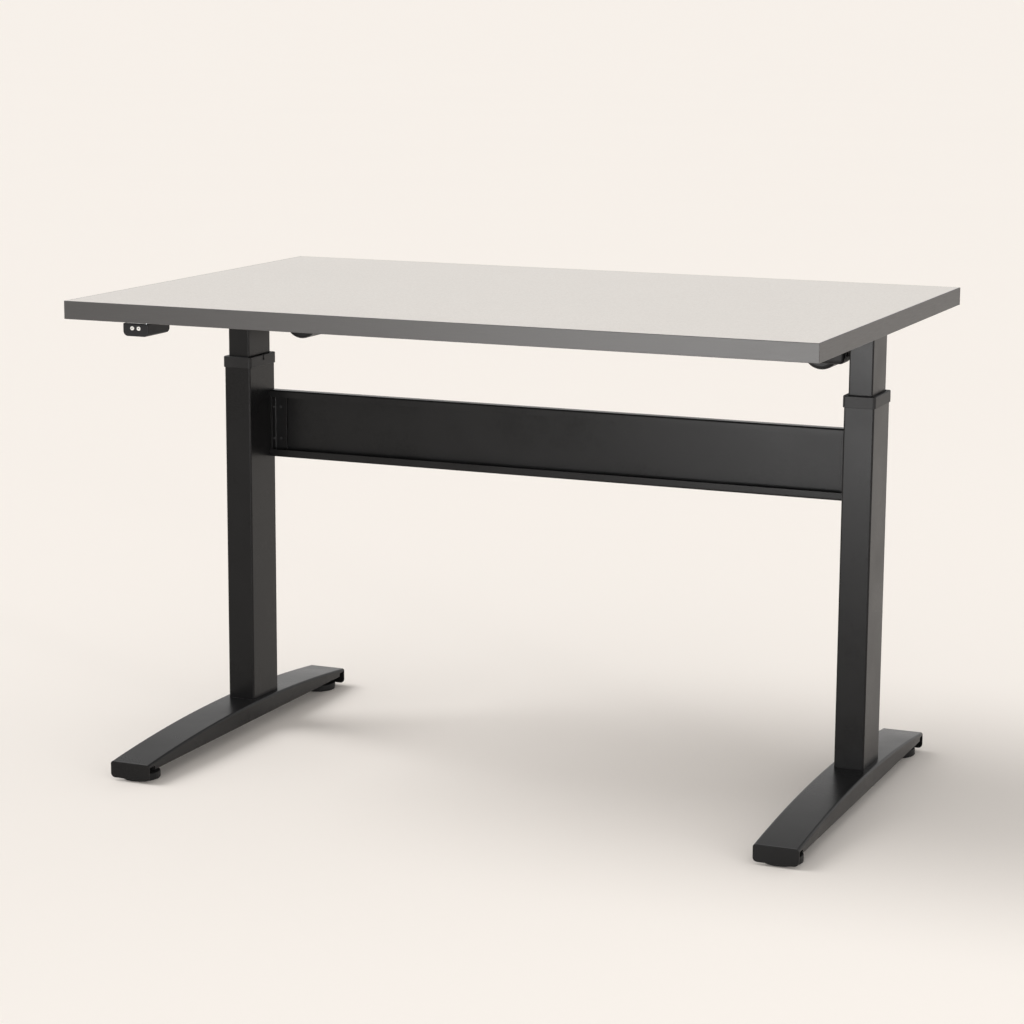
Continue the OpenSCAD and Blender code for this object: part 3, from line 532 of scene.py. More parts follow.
def polygon_ring(sides: int, across: float, count: int, turn: float = 0.0) -> list[Point]:
    """Points evenly spread along a regular polygon, so that it joins to a circle.

    Args:
        sides: Number of sides.
        across: Distance across its flats.
        count: Number of points, a multiple of the sides.
        turn: Rotation in degrees.

    Returns:
        The points anticlockwise.
    """
    points = []
    for i in range(count):
        angle = 2 * math.pi * i / count
        part = (angle + math.pi / sides) % (2 * math.pi / sides) - math.pi / sides
        radius = across / 2 / math.cos(part)
        angle += math.radians(turn)
        points.append((radius * math.cos(angle), radius * math.sin(angle)))
    return points


def bent_strip(corners: Sequence[Point], thickness: float, bend: float,
               steps: int = 5) -> list[Point]:
    """Closed outline of a folded sheet seen end on.

    Args:
        corners: The sheet's outer line, whose inner side lies to its left.
        thickness: The sheet's thickness.
        bend: Outer radius of each bend.
        steps: Chords in each bend.

    Returns:
        The outer line followed by the inner line backwards.
    """
    line = [Vector(corner) for corner in corners]
    outer: list[Point] = []
    inner: list[Point] = []
    for i, corner in enumerate(line):
        if i in (0, len(line) - 1):
            run = (line[1] - line[0]) if i == 0 else (line[-1] - line[-2])
            left = Vector((-run.y, run.x)).normalized()
            outer.append(tuple(corner))
            inner.append(tuple(corner + left * thickness))
            continue
        back = (line[i - 1] - corner).normalized()
        ahead = (line[i + 1] - corner).normalized()
        turn = 1 if back.cross(ahead) < 0 else -1
        far = bend if turn > 0 else bend - thickness
        near = bend - thickness if turn > 0 else bend
        hub = corner + (back + ahead) * far
        for k in range(steps + 1):
            angle = math.pi / 2 * k / steps
            spoke = -ahead * math.cos(angle) - back * math.sin(angle)
            outer.append(tuple(hub + spoke * far))
            inner.append(tuple(hub + spoke * near))
    return outer + inner[::-1]


def quarter(steps: int, first: int = 0) -> list[Point]:
    """Sine and one minus cosine along a quarter turn, for rounding an edge over."""
    turns = [math.pi / 2 * k / steps for k in range(first, steps + 1)]
    return [(math.sin(t), 1 - math.cos(t)) for t in turns]


def centre_of(box: Box) -> Point:
    """The middle of a box seen from above."""
    low, high = box
    return ((low.x + high.x) / 2, (low.y + high.y) / 2)


def span_of(box: Box) -> Point:
    """Width and depth of a box seen from above."""
    low, high = box
    return (high.x - low.x, high.y - low.y)


def post(box: Box, height: float = 0) -> Vector:
    """A point on a box's upright middle line."""
    return Vector((*centre_of(box), height))


def raised(ring: Sequence[Point], height: float) -> list[Vector]:
    """An outline laid level at a height."""
    return [Vector((u, v, height)) for u, v in ring]


def rims(levels: Iterable[Point], size: Point, centre: Point, corner: float, steps: int = 8,
         least: float = 0.0) -> list[list[Vector]]:
    """Level rounded rectangles stacked up.

    Args:
        levels: Inset and height of each rectangle.
        size: Width and depth before the inset.
        centre: Middle of them all.
        corner: Corner radius before the inset.
        steps: Chords in each corner.
        least: Smallest corner radius.

    Returns:
        One loop for each level.
    """
    loops = []
    for inset, height in levels:
        ring = rounded(size[0] - 2 * inset, size[1] - 2 * inset, max(corner - inset, least),
                       steps, centre)
        loops.append(raised(ring, height))
    return loops


@dataclass
class Shape:
    """Geometry gathered for one piece before it becomes a Blender object."""

    mesh: bmesh.types.BMesh = field(default_factory=bmesh.new)

    def loft(self, loops: Sequence[Sequence[Vector]], caps: bool = True,
             around: bool = False) -> "Shape":
        """Join loops of equal length by faces.

        Args:
            loops: The loops in order.
            caps: Close the first and last loop by a face each.
            around: Join the last loop back to the first one.

        Returns:
            This shape.
        """
        rows = [[self.mesh.verts.new(p) for p in loop] for loop in loops]
        pairs = list(zip(rows, rows[1:])) + ([(rows[-1], rows[0])] if around else [])
        for low, high in pairs:
            for i in range(len(low)):
                j = (i + 1) % len(low)
                self.mesh.faces.new((low[i], low[j], high[j], high[i]))
        if caps and not around:
            self.mesh.faces.new(rows[0][::-1])
            self.mesh.faces.new(rows[-1])
        return self

    def ring(self, loops: Sequence[Sequence[Vector]]) -> "Shape":
        """Join loops into a closed tube, the last one back to the first."""
        return self.loft(loops, caps=False, around=True)

    def prism(self, outline: Sequence[Point], axis: Axis, start: float, stop: float) -> "Shape":
        """Draw an outline out along an axis."""
        return self.loft([[axis.point(u, v, at) for u, v in outline] for at in (start, stop)])

    def box(self, low: Sequence[float], high: Sequence[float]) -> "Shape":
        """A block between two corners."""
        outline = [(low[0], low[1]), (high[0], low[1]), (high[0], high[1]), (low[0], high[1])]
        return self.prism(outline, Axis.Z, low[2], high[2])

    def lathe(self, profile: Sequence[Point], centre: Vector, axis: Axis = Axis.Z,
              segments: int = 64, closed: bool = False,
              swell: Callable[[float, float], float] | None = None) -> "Shape":
        """Turn a profile about an axis.

        Args:
            profile: Radius and distance along the axis, point by point.
            centre: A point on the axis, from which the distances count.
            axis: The axis of turning.
            segments: Points in each circle.
            closed: The profile is a ring section and joins back to its start.
            swell: Radius as a function of the angle and the plain radius.

        Returns:
            This shape.
        """
        loops = []
        for radius, along in profile:
            loop = []
            for i in range(segments):
                angle = 2 * math.pi * i / segments
                here = swell(angle, radius) if swell else radius
                spot = axis.point(here * math.cos(angle), here * math.sin(angle), along)
                loop.append(centre + spot)
            loops.append(loop)
        return self.loft(loops, caps=False, around=closed)

    def thread(self, centre: Vector, axis: Axis, radius: float, depth: float, pitch: float,
               start: float, stop: float, segments: int = 24, rows: int = 8) -> "Shape":
        """A screw thread with flat crests and roots.

        Args:
            centre: A point on the axis.
            axis: The thread's axis.
            radius: Outer radius.
            depth: Depth of the groove.
            pitch: Rise in one turn.
            start: Where the thread starts along the axis.
            stop: Where it stops.
            segments: Points in a turn.
            rows: Loops in one pitch.

        Returns:
            This shape.
        """
        count = max(2, round((stop - start) / pitch * rows))
        loops = [[centre + axis.point(0, 0, start)] * segments]
        for k in range(count + 1):
            along = start + (stop - start) * k / count
            fade = min(1.0, min(along - start, stop - along) / pitch)
            loop = []
            for i in range(segments):
                phase = (along / pitch - i / segments) % 1.0
                ramp = min(1.0, max(0.0, abs(phase - 0.5) * 5 - 0.75))
                here = radius - depth * (1 - ramp) * max(fade, 0.15)
                angle = 2 * math.pi * i / segments
                loop.append(centre + axis.point(here * math.cos(angle), here * math.sin(angle),
                                                along))
            loops.append(loop)
        loops.append([centre + axis.point(0, 0, stop)] * segments)
        return self.loft(loops, caps=False)

    def screw_head(self, centre: Vector, axis: Axis, toward: int, radius: float, height: float,
                   key: float, domed: bool = False) -> "Shape":
        """A screw's head with its hexagon recess.

        Args:
            centre: Middle of the head's seat.
            axis: The screw's axis.
            toward: 1 or -1, the way the head stands along the axis.
            radius: Radius of the head.
            height: Height of the head.
            key: Width of the recess across its flats.
            domed: Round the head over as a button head.

        Returns:
            This shape.
        """
        count = 48
        ease = height * (0.75 if domed else 0.18)
        rim = key * 0.5 + 0.25 * (radius - key * 0.5)
        reach = radius - rim if domed else ease
        circles = [(0.0, 0.0), (radius, 0.0), (radius, height - ease)]
        circles += [(radius - reach * drop, height - ease + ease * sine)
                    for sine, drop in quarter(5, 1)]
        spokes = [2 * math.pi * i / count for i in range(count)]
        loops = [([(here * math.cos(t), here * math.sin(t)) for t in spokes], along)
                 for here, along in circles]
        for across, along in ((key * 1.08, height), (key, height - 0.06 * height),
                              (key, height * 0.35), (0.0, height * 0.22)):
            loops.append((polygon_ring(HEXAGON, across, count), along))
        placed = [[centre + axis.point(u, v, toward * along) for u, v in ring]
                  for ring, along in loops]
        return self.loft(placed, caps=False)

    def sheet(self, outline: Sequence[Point], holes: Iterable[Sequence[Point]], axis: Axis,
              start: float, stop: float) -> "Shape":
        """A flat plate with holes through it.

        Args:
            outline: The plate's outline.
            holes: Outlines of its holes.
            axis: The direction through the plate.
            start: One face's place along the axis.
            stop: The other face's place.

        Returns:
            This shape.
        """
        flat = bmesh.new()
        for line in (outline, *holes):
            ring = [flat.verts.new(axis.point(u, v, start)) for u, v in line]
            for i, vert in enumerate(ring):
                flat.edges.new((vert, ring[(i + 1) % len(ring)]))
        bmesh.ops.triangle_fill(flat, use_beauty=True, edges=flat.edges[:])
        grown = bmesh.ops.extrude_face_region(flat, geom=flat.faces[:], use_keep_orig=True)
        shift = axis.point(0, 0, stop - start)
        moved = [g for g in grown["geom"] if isinstance(g, bmesh.types.BMVert)]
        bmesh.ops.translate(flat, verts=moved, vec=shift)
        holder = bpy.data.meshes.new("plate")
        flat.to_mesh(holder)
        flat.free()
        self.mesh.from_mesh(holder)
        bpy.data.meshes.remove(holder)
        return self

    def mirrored(self, side: Side) -> "Shape":
        """Flip a shape drawn for the right side over to the side asked for."""
        if side is Side.LEFT:
            bmesh.ops.transform(self.mesh, matrix=Matrix.Scale(-1, 4, (1, 0, 0)),
                                verts=self.mesh.verts[:])
        return self

    def ease(self, width: float, steps: int = 3,
             where: Callable[[Vector], bool] | None = None) -> "Shape":
        """Round the sharp edges.

        Args:
            width: Width of the rounding.
            steps: Facets across it.
            where: Test of an edge's middle point, if only some edges are rounded.

        Returns:
            This shape.
        """
        self.clean()
        picked = []
        for edge in self.mesh.edges:
            if len(edge.link_faces) != 2 or edge.calc_face_angle(0.0) < SHARP:
                continue
            middle = (edge.verts[0].co + edge.verts[1].co) / 2
            if where is None or where(middle):
                picked.append(edge)
        if picked:
            bmesh.ops.bevel(self.mesh, geom=picked, offset=width, offset_type="OFFSET",
                            segments=steps, profile=0.5, affect="EDGES", clamp_overlap=True)
        return self

    def clean(self) -> "Shape":
        """Weld doubled points, drop slivers and turn all faces outward."""
        bmesh.ops.remove_doubles(self.mesh, verts=self.mesh.verts[:], dist=WELD)
        bmesh.ops.dissolve_degenerate(self.mesh, dist=WELD, edges=self.mesh.edges[:])
        bmesh.ops.recalc_face_normals(self.mesh, faces=self.mesh.faces[:])
        return self

    def piece(self, name: str, finish: Finish, body: str, nodes: Sequence[str] = (),
              slot: str = "") -> Object:
        """Make the object, dress it and tie it to the frame.

        Args:
            name: The piece's name.
            finish: Its finish.
            body: The body it rides on.
            nodes: The nodes it stands for.
            slot: Not used.

        Returns:
            The object.
        """
        self.clean()
        data = bpy.data.meshes.new(name)
        self.mesh.to_mesh(data)
        self.mesh.free()
        data.shade_smooth()
        data.set_sharp_from_angle(angle=SHARP)
        made = bpy.data.objects.new(name, data)
        bpy.context.scene.collection.objects.link(made)
        made.modifiers.new("flat_faces", "WEIGHTED_NORMAL").keep_sharp = True
        data.materials.append(material_of(finish))
        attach(made, body)
        if nodes:
            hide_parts(*nodes)
        return made


def cut(target: Object, cutter: Shape) -> Object:
    """Take a shape out of a finished piece.

    Args:
        target: The piece to cut.
        cutter: The shape to take away.

    Returns:
        The cut piece.
    """
    cutter.clean()
    data = bpy.data.meshes.new("cutter")
    cutter.mesh.to_mesh(data)
    cutter.mesh.free()
    tool = bpy.data.objects.new("cutter", data)
    bpy.context.scene.collection.objects.link(tool)
    carve = target.modifiers.new("carve", "BOOLEAN")
    carve.operation = "DIFFERENCE"
    carve.solver = "EXACT"
    carve.object = tool
    target.modifiers.move(len(target.modifiers) - 1, 0)
    weight = target.modifiers["flat_faces"]
    weight.show_viewport = False
    bpy.context.view_layer.update()
    result = bpy.data.meshes.new_from_object(target.evaluated_get(
        bpy.context.evaluated_depsgraph_get()))
    weight.show_viewport = True
    target.modifiers.remove(carve)
    old = target.data
    result.name = old.name
    target.data = result
    result.shade_smooth()
    result.set_sharp_from_angle(angle=SHARP)
    bpy.data.meshes.remove(old)
    bpy.data.objects.remove(tool)
    bpy.data.meshes.remove(data)
    return target


def carry(finish: Finish, *nodes: str) -> None:
    """Dress nodes whose shape is already right."""
    for name in nodes:
        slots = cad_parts[name].data.materials
        slots.clear()
        slots.append(material_of(finish))


def solids(node: str) -> list[Box]:
    """The box of each separate solid in a node, in a fixed order.

    Args:
        node: The node's name.

    Returns:
        Lowest and highest corners, sorted by place.
    """
    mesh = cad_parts[node].data
    parent: dict[tuple, tuple] = {}

    def root(key: tuple) -> tuple:
        """The key that stands for this one's group."""
        while parent[key] != key:
            parent[key] = parent[parent[key]]
            key = parent[key]
        return key

    keys = [tuple(round(c, 6) for c in v.co) for v in mesh.vertices]
    for key in keys:
        parent.setdefault(key, key)
    for face in mesh.polygons:
        first = root(keys[face.vertices[0]])
        for other in face.vertices[1:]:
            parent[root(keys[other])] = first
    groups: dict[tuple, list[tuple]] = {}
    for key in parent:
        groups.setdefault(root(key), []).append(key)
    boxes = []
    for points in groups.values():
        low = Vector([min(p[i] for p in points) for i in range(3)])
        high = Vector([max(p[i] for p in points) for i in range(3)])
        boxes.append((low, high))
    return sorted(boxes, key=lambda b: tuple(round(c, 5) for c in (*b[0], *b[1])))


# ---------- worktop ----------


@dataclass
class Worktop:
    """Laminate-faced board with four butt-jointed edge bands."""

    arris: float = 0.8 * MM
    joint: float = 0.08 * MM
    sheet_arris: float = 0.12 * MM

    def build(self) -> Pieces:
        """Make the sheet and the bands, and dress the board."""
        carry(CORE, "worktop_core")
        carry(BACKING, "worktop_backer")
        return [self.face(), *self.bands()]

    def face(self) -> Object:
        """The laminate sheet."""
        low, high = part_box("worktop_laminate")
        sheet = Shape().box(low, high).ease(self.sheet_arris, 2)
        return sheet.piece("laminate_sheet", DECOR, "top", ["worktop_laminate"])

    def bands(self) -> Pieces:
        """Front and rear bands over the full length, side bands between them."""
        low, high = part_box("edge_bands")
        inner_low, inner_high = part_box("worktop_core")
        made = []
        for name, begin, end in (("front", low.y, inner_low.y), ("rear", inner_high.y, high.y)):
            strip = Shape().box((low.x, begin, low.z), (high.x, end, high.z))
            outside = begin if name == "front" else end
            strip.ease(self.arris, 4, lambda p, y=outside: abs(p.y - y) < WELD)
            made.append(strip.piece(f"edge_band_{name}", BAND, "top", ["edge_bands"]))
        for name, begin, end in (("left", low.x, inner_low.x), ("right", inner_high.x, high.x)):
            strip = Shape().box((begin, inner_low.y + self.joint, low.z),
                                (end, inner_high.y - self.joint, high.z))
            outside = begin if name == "left" else end
            strip.ease(self.arris, 4, lambda p, x=outside, y0=inner_low.y, y1=inner_high.y:
                       abs(p.x - x) < WELD and y0 + MM < p.y < y1 - MM)
            made.append(strip.piece(f"edge_band_{name}", BAND, "top", ["edge_bands"]))
        return made


@dataclass
class Sided:
    """A sub-assembly that is there once on each side."""

    side: Side

    def node(self, stem: str) -> str:
        """The name of a node on this side."""
        return f"{stem}_{self.side.word}"

    def own(self, stem: str) -> list[Box]:
        """This side's solids of a node that both sides share."""
        return [box for box in solids(stem) if (box[0].x > 0) == (self.side is Side.RIGHT)]


# ---------- feet and glides ----------


@dataclass
class Foot(Sided):
    """Arched pressed-steel foot, open underneath, with an end flap at each end."""

    wall: float = 3 * MM
    edge: float = 4 * MM
    end_height: float = 31 * MM
    flange: float = 20 * MM
    flange_step: float = 26 * MM
    flange_stop: float = 20 * MM
    step_run: float = 1.2 * MM
    flap_corner: float = 7 * MM
    plate: float = 6 * MM
    plate_length: float = 138 * MM
    bolt_hole: float = 4.3 * MM
    column_gap: float = 0.5 * MM
    column_corner: float = 3 * MM
    stations: int = 72

    def __post_init__(self) -> None:
        """Read the foot's box and the column's."""
        self.name = self.node("foot")
        self.low, self.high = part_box(self.name)
        self.x, self.y = centre_of((self.low, self.high))
        self.half = (self.high.x - self.low.x) / 2
        self.reach = (self.high.y - self.low.y) / 2
        rise = self.high.z - self.end_height
        self.arc_radius = (self.reach ** 2 + rise ** 2) / (2 * rise)
        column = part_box(self.node("column_lower"))
        self.column_at = centre_of(column)
        self.column_size = span_of(column)

    def crown(self, y: float) -> float:
        """Height of the foot's top at a distance along it."""
        return self.high.z - self.arc_radius + math.sqrt(self.arc_radius ** 2 - y ** 2)

    def skirt(self, y: float) -> float:
        """Height of the side flange's lower edge at a distance along the foot."""
        into = (abs(y) - (self.reach - self.flange_stop)) / self.step_run
        share = min(1.0, max(0.0, into))
        smooth = share * share * (3 - 2 * share)
        return self.flange + (self.flange_step - self.flange) * smooth

    def section(self, y: float) -> list[Vector]:
        """One cross section of the channel."""
        top, bottom = self.crown(y), self.skirt(y)
        lip = 0.8 * MM
        outline = [(self.half, bottom + lip)]
        outline += arc((self.half - self.edge, top - self.edge), self.edge, 0, 90, 8)
        outline += arc((-self.half + self.edge, top - self.edge), self.edge, 90, 180, 8)
        outline += [(-self.half, bottom + lip), (-self.half + lip, bottom),
                    (-self.half + self.wall - lip, bottom), (-self.half + self.wall, bottom + lip)]
        inner = self.edge - self.wall
        outline += arc((-self.half + self.edge, top - self.edge), inner, 180, 90, 8)
        outline += arc((self.half - self.edge, top - self.edge), inner, 90, 0, 8)
        outline += [(self.half - self.wall, bottom + lip), (self.half - self.wall + lip, bottom),
                    (self.half - lip, bottom)]
        return [Vector((self.x + u, self.y + y, v)) for u, v in outline]

    def flap(self, end: End) -> Shape:
        """The plate bent down at one end, with round lower corners."""
        r, low = self.flap_corner, self.low.z
        top = self.crown(self.reach - self.wall)
        outline = arc((self.half - r, low + r), r, -90, 0, 8)
        outline += arc((self.half - self.edge, top - self.edge), self.edge, 0, 90, 6)
        outline += arc((-self.half + self.edge, top - self.edge), self.edge, 90, 180, 6)
        outline += arc((-self.half + r, low + r), r, 180, 270, 8)
        tip = self.y + end.value * self.reach
        root = tip - end.value * self.wall
        plate = Shape().prism([(self.x + u, v) for u, v in outline], Axis.Y, root, tip)
        return plate.ease(1.1 * MM, 3, lambda p: abs(p.y - tip) < WELD)

    def build(self) -> Pieces:
        """Make the channel, its flaps, the slot for the column and the bolting plate."""
        run = self.reach - self.wall - 0.02 * MM
        marks = {-run + 2 * run * i / self.stations for i in range(self.stations + 1)}
        start = self.reach - self.flange_stop
        for end in End:
            marks |= {end.value * (start + self.step_run * k / 4) for k in range(5)}
        shell = Shape().loft([self.section(y) for y in sorted(marks)])
        body = shell.piece(f"{self.name}_channel", PAINT, "base", [self.name])
        gap = self.column_gap
        width, depth = self.column_size
        slot = rounded(width + 2 * gap, depth + 2 * gap, self.column_corner + gap, 8,
                       self.column_at)
        cut(body, Shape().prism(slot, Axis.Z, self.flange + self.plate + MM,
                                self.high.z + 5 * MM))
        made = [body]
        for end in End:
            made.append(self.flap(end).piece(f"{self.name}_{end.word}_flap", PAINT, "base",
                                             [self.name]))
        return [*made, self.bolting_plate(), self.weld()]

    def bolting_plate(self) -> Object:
        """Plate inside the channel that the column is bolted to."""
        holes = [arc(centre_of(bolt), self.bolt_hole, 0, 345, 23)
                 for bolt in self.own("foot_bolts")]
        width = 2 * (self.half - self.wall) - 0.1 * MM
        outline = rounded(width, self.plate_length, 1.5 * MM, 4, self.column_at)
        plate = Shape().sheet(outline, holes, Axis.Z, self.flange + 0.1 * MM,
                              self.flange + self.plate)
        return plate.piece(f"{self.name}_plate", PAINT, "base", [self.name])

    def weld(self) -> Object:
        """Fine fillet of weld between the foot's crown and the column."""
        width, depth = self.column_size
        loops = []
        count = 10
        for k in range(count + 1):
            angle = math.pi * k / count
            spread = 0.5 * MM * (1 - math.cos(angle))
            lift = 0.55 * MM * math.sin(angle) - 0.35 * MM
            ring = rounded(width + 2 * spread, depth + 2 * spread, self.column_corner + spread, 8,
                           self.column_at)
            loops.append([Vector((u, v, self.crown(v - self.y) + lift)) for u, v in ring])
        return Shape().ring(loops).piece(f"{self.name}_seam", PAINT, "base", [self.name])


@dataclass
class Glide(Sided):
    """Levelling glide: moulded pad on a threaded stud with a hexagon."""

    end: End
    flutes: int = 36
    flute_depth: float = 0.28 * MM
    hub: float = 4.05 * MM
    rim: float = 2 * MM
    hex_height: float = 2.6 * MM

    def build(self) -> Pieces:
        """Make the pad and the stud."""
        where = self.node(self.end.word)
        return [self.pad(f"glide_pad_{where}"), self.stud(f"glide_stud_{where}")]

    def pad(self, node: str) -> Object:
        """Pad with a fluted rim, a shoulder and a ring groove underneath."""
        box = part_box(node)
        low, high = box
        r, h = (high.x - low.x) / 2, high.z - low.z
        hub, rim = self.hub, self.rim
        profile = [(0, 0), (12 * MM, 0), (12.6 * MM, 0.9 * MM), (r - 8.4 * MM, 0.9 * MM),
                   (r - 8 * MM, 0), (r - rim, 0)]
        profile += arc((r - rim, rim), rim, -75, 0, 5)
        profile += arc((r - rim, h - 1.2 * MM - rim), rim, 0, 75, 5)
        profile += [(r - 8.6 * MM, h - 0.9 * MM)]
        profile += arc((r - 10.4 * MM, h - 0.8 * MM), 0.8 * MM, 20, 90, 4)
        profile += [(hub + 1.2 * MM, h), (hub, h - 1.2 * MM), (hub, 3.7 * MM), (0, 3.7 * MM)]

        def swell(angle: float, radius: float) -> float:
            """Shallow flutes around the rim."""
            if radius < r - rim:
                return radius
            return radius - self.flute_depth * (0.5 - 0.5 * math.cos(self.flutes * angle))

        disc = Shape().lathe(profile, post(box, low.z), Axis.Z, 144, swell=swell)
        return disc.piece(f"{node}_disc", GLIDE, node, [node])

    def stud(self, node: str) -> Object:
        """Threaded stud with the hexagon that a spanner turns."""
        low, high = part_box(node)
        middle = post((low, high))
        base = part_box(node.replace("stud", "pad"))[1].z + 0.15 * MM
        top = base + self.hex_height
        shape = Shape().thread(middle, Axis.Z, 4 * MM, 0.6 * MM, 1.25 * MM, top, high.z, 32, 10)
        shape.lathe([(0, low.z), (3.6 * MM, low.z), (4 * MM, low.z + 0.4 * MM),
                     (4 * MM, base), (0, base)], middle, Axis.Z, 32)
        ease = 0.35 * MM
        across = (high.y - low.y) * 0.99
        loops = []
        for inset, z in ((ease, base), (0, base + ease), (0, top - ease), (ease, top)):
            ring = polygon_ring(HEXAGON, across - 2 * inset, HEXAGON, 30)
            loops.append([middle + Vector((u, v, z)) for v, u in ring])
        shape.loft(loops)
        return shape.piece(f"{node}_screw", ZINC, node, [node])


# ---------- columns ----------


@dataclass
class Column(Sided):
    """Two-stage telescopic column with a moulded collar."""

    corner: float = 3 * MM
    inner_corner: float = 2.6 * MM
    wall: float = 2 * MM
    end_ease: float = 0.4 * MM
    crown: float = 1.6 * MM
    notch_width: float = 8 * MM
    notch_height: float = 9 * MM
    notch_depth: float = 1.2 * MM

    def tube(self, stem: str, corner: float, body: str) -> Object:
        """A rounded rectangular tube with eased ends."""
        node = self.node(stem)
        low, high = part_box(node)
        box = (low, high)
        ease = self.end_ease
        levels = ((ease, low.z), (0, low.z + ease), (0, high.z - ease), (ease, high.z),
                  (self.wall, high.z), (self.wall, low.z))
        loops = rims(levels, span_of(box), centre_of(box), corner, least=0.6 * MM)
        return Shape().ring(loops).piece(f"{node}_tube", COLUMN_PAINT, body, [node])

    def collar(self) -> Object:
        """Collar with a soft top edge and the release notch on its inner face."""
        node = self.node("collar")
        low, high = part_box(node)
        centre, size = centre_of((low, high)), span_of((low, high))
        bore = tuple(s + 0.6 * MM for s in span_of(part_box(self.node("column_upper"))))
        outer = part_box(self.node("column_lower"))
        pocket, lip = span_of(outer), outer[1].z
        crown = self.crown
        stack = [(size, -0.5 * MM, low.z), (size, 0, low.z + 0.5 * MM), (size, 0, high.z - crown)]
        stack += [(size, -crown * drop, high.z - crown + crown * sine)
                  for sine, drop in quarter(5, 1)]
        stack += [(bore, 1.2 * MM, high.z), (bore, 0.35 * MM, high.z - 0.35 * MM),
                  (bore, 0, high.z - 1.2 * MM), (bore, 0, lip), (pocket, 0, lip),
                  (pocket, 0, low.z)]
        loops = []
        for (w, d), grow, z in stack:
            w, d = w + 2 * grow, d + 2 * grow
            corner = max(self.corner + (w - pocket[0]) / 2, 0.8 * MM)
            loops.append(raised(rounded(w, d, corner, 8, centre), z))
        made = Shape().ring(loops).piece(f"{node}_cap", COLLAR, "base", [node])
        face = low.x if self.side is Side.RIGHT else high.x
        half, tall = self.notch_width / 2, self.notch_height
        outline = [(centre[1] + half * share, high.z + rise) for share, rise in
                   ((-1, -tall), (0.9, -tall), (0.25, MM), (-0.25, MM))]
        return cut(made, Shape().prism(outline, Axis.X, face - self.notch_depth,
                                       face + self.notch_depth))

    def wiper(self) -> Object:
        """Felt ring that fills the collar's gap around the upper tube."""
        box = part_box(self.node("column_upper"))
        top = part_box(self.node("collar"))[1].z - 1.5 * MM
        levels = [(-gap * MM, top + z * MM)
                  for gap, z in ((0.06, 0), (0.06, -2), (0.28, -2), (0.28, 0))]
        loops = rims(levels, span_of(box), centre_of(box), self.inner_corner)
        return Shape().ring(loops).piece(self.node("wiper"), FELT, "base", slot="collar_plastic")

    def build(self) -> Pieces:
        """Make both tubes, the collar and its wiper."""
        return [self.tube("column_lower", self.corner, "base"),
                self.tube("column_upper", self.inner_corner, "top"), self.collar(), self.wiper()]


# ---------- crossbar ----------


@dataclass
class Crossbar:
    """Folded channel between the columns, with its end angles and bolts."""

    thickness: float = 2 * MM
    bend: float = 3.2 * MM
    lip: float = 12.3 * MM
    angle_thickness: float = 4 * MM

    def channel(self) -> Object:
        """The channel, open to the front between its two lips."""
        low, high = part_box("crossbar")
        line = [(low.y, low.z + self.lip), (low.y, low.z), (high.y, low.z), (high.y, high.z),
                (low.y, high.z), (low.y, high.z - self.lip)]
        section = bent_strip(line, self.thickness, self.bend, 6)
        shape = Shape().prism(section, Axis.X, low.x, high.x)
        return shape.piece("crossbar_channel", PAINT, "base", ["crossbar"])

    def angles(self) -> Pieces:
        """The folded angle at each end."""
        made = []
        for low, high in solids("crossbar_ends"):
            side = Side.RIGHT if low.x > 0 else Side.LEFT
            near, far = (low.x, high.x) if side is Side.RIGHT else (-high.x, -low.x)
            line = [(near, high.y), (far, high.y), (far, low.y)]
            section = bent_strip(line[::-1], self.angle_thickness, 6 * MM, 6)
            shape = Shape().prism(section, Axis.Z, low.z, high.z).mirrored(side)
            shape.ease(0.4 * MM, 2)
            made.append(shape.piece(f"crossbar_angle_{side.word}", PAINT, "base",
                                    ["crossbar_ends"]))
        return made

    def bolts(self) -> Object:
        """Button-head bolts through the angles."""
        shape = Shape()
        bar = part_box("crossbar")
        for low, high in solids("crossbar_bolts"):
            size = high - low
            middle = (low + high) / 2
            if size.x > size.y:
                inner = 1 if middle.x < 0 else -1
                head_x = high.x if inner > 0 else low.x
                seat = Vector((head_x - inner * 2 * MM, middle.y, middle.z))
                shape.screw_head(seat, Axis.X, inner, size.z / 2, 2 * MM, 3 * MM, True)
                tail = sorted((seat.x - inner * (size.x - 2 * MM), seat.x))
                shape.thread(Vector((0, middle.y, middle.z)), Axis.X, 2.5 * MM, 0.35 * MM,
                             0.8 * MM, tail[0], tail[1], 20, 6)
            else:
                seat = Vector((middle.x, bar[1].y, middle.z))
                shape.screw_head(seat, Axis.Y, 1, size.z / 2, high.y - bar[1].y, 3 * MM, True)
                shape.thread(Vector((middle.x, 0, middle.z)), Axis.Y, 2.5 * MM, 0.35 * MM,
                             0.8 * MM, low.y, bar[1].y, 20, 6)
        return shape.piece("crossbar_screws", BLACK_ZINC, "base", ["crossbar_bolts"])

    def build(self) -> Pieces:
        """Make the channel, the angles and the bolts."""
        return [self.channel(), *self.angles(), self.bolts()]


# ---------- drive under the top ----------


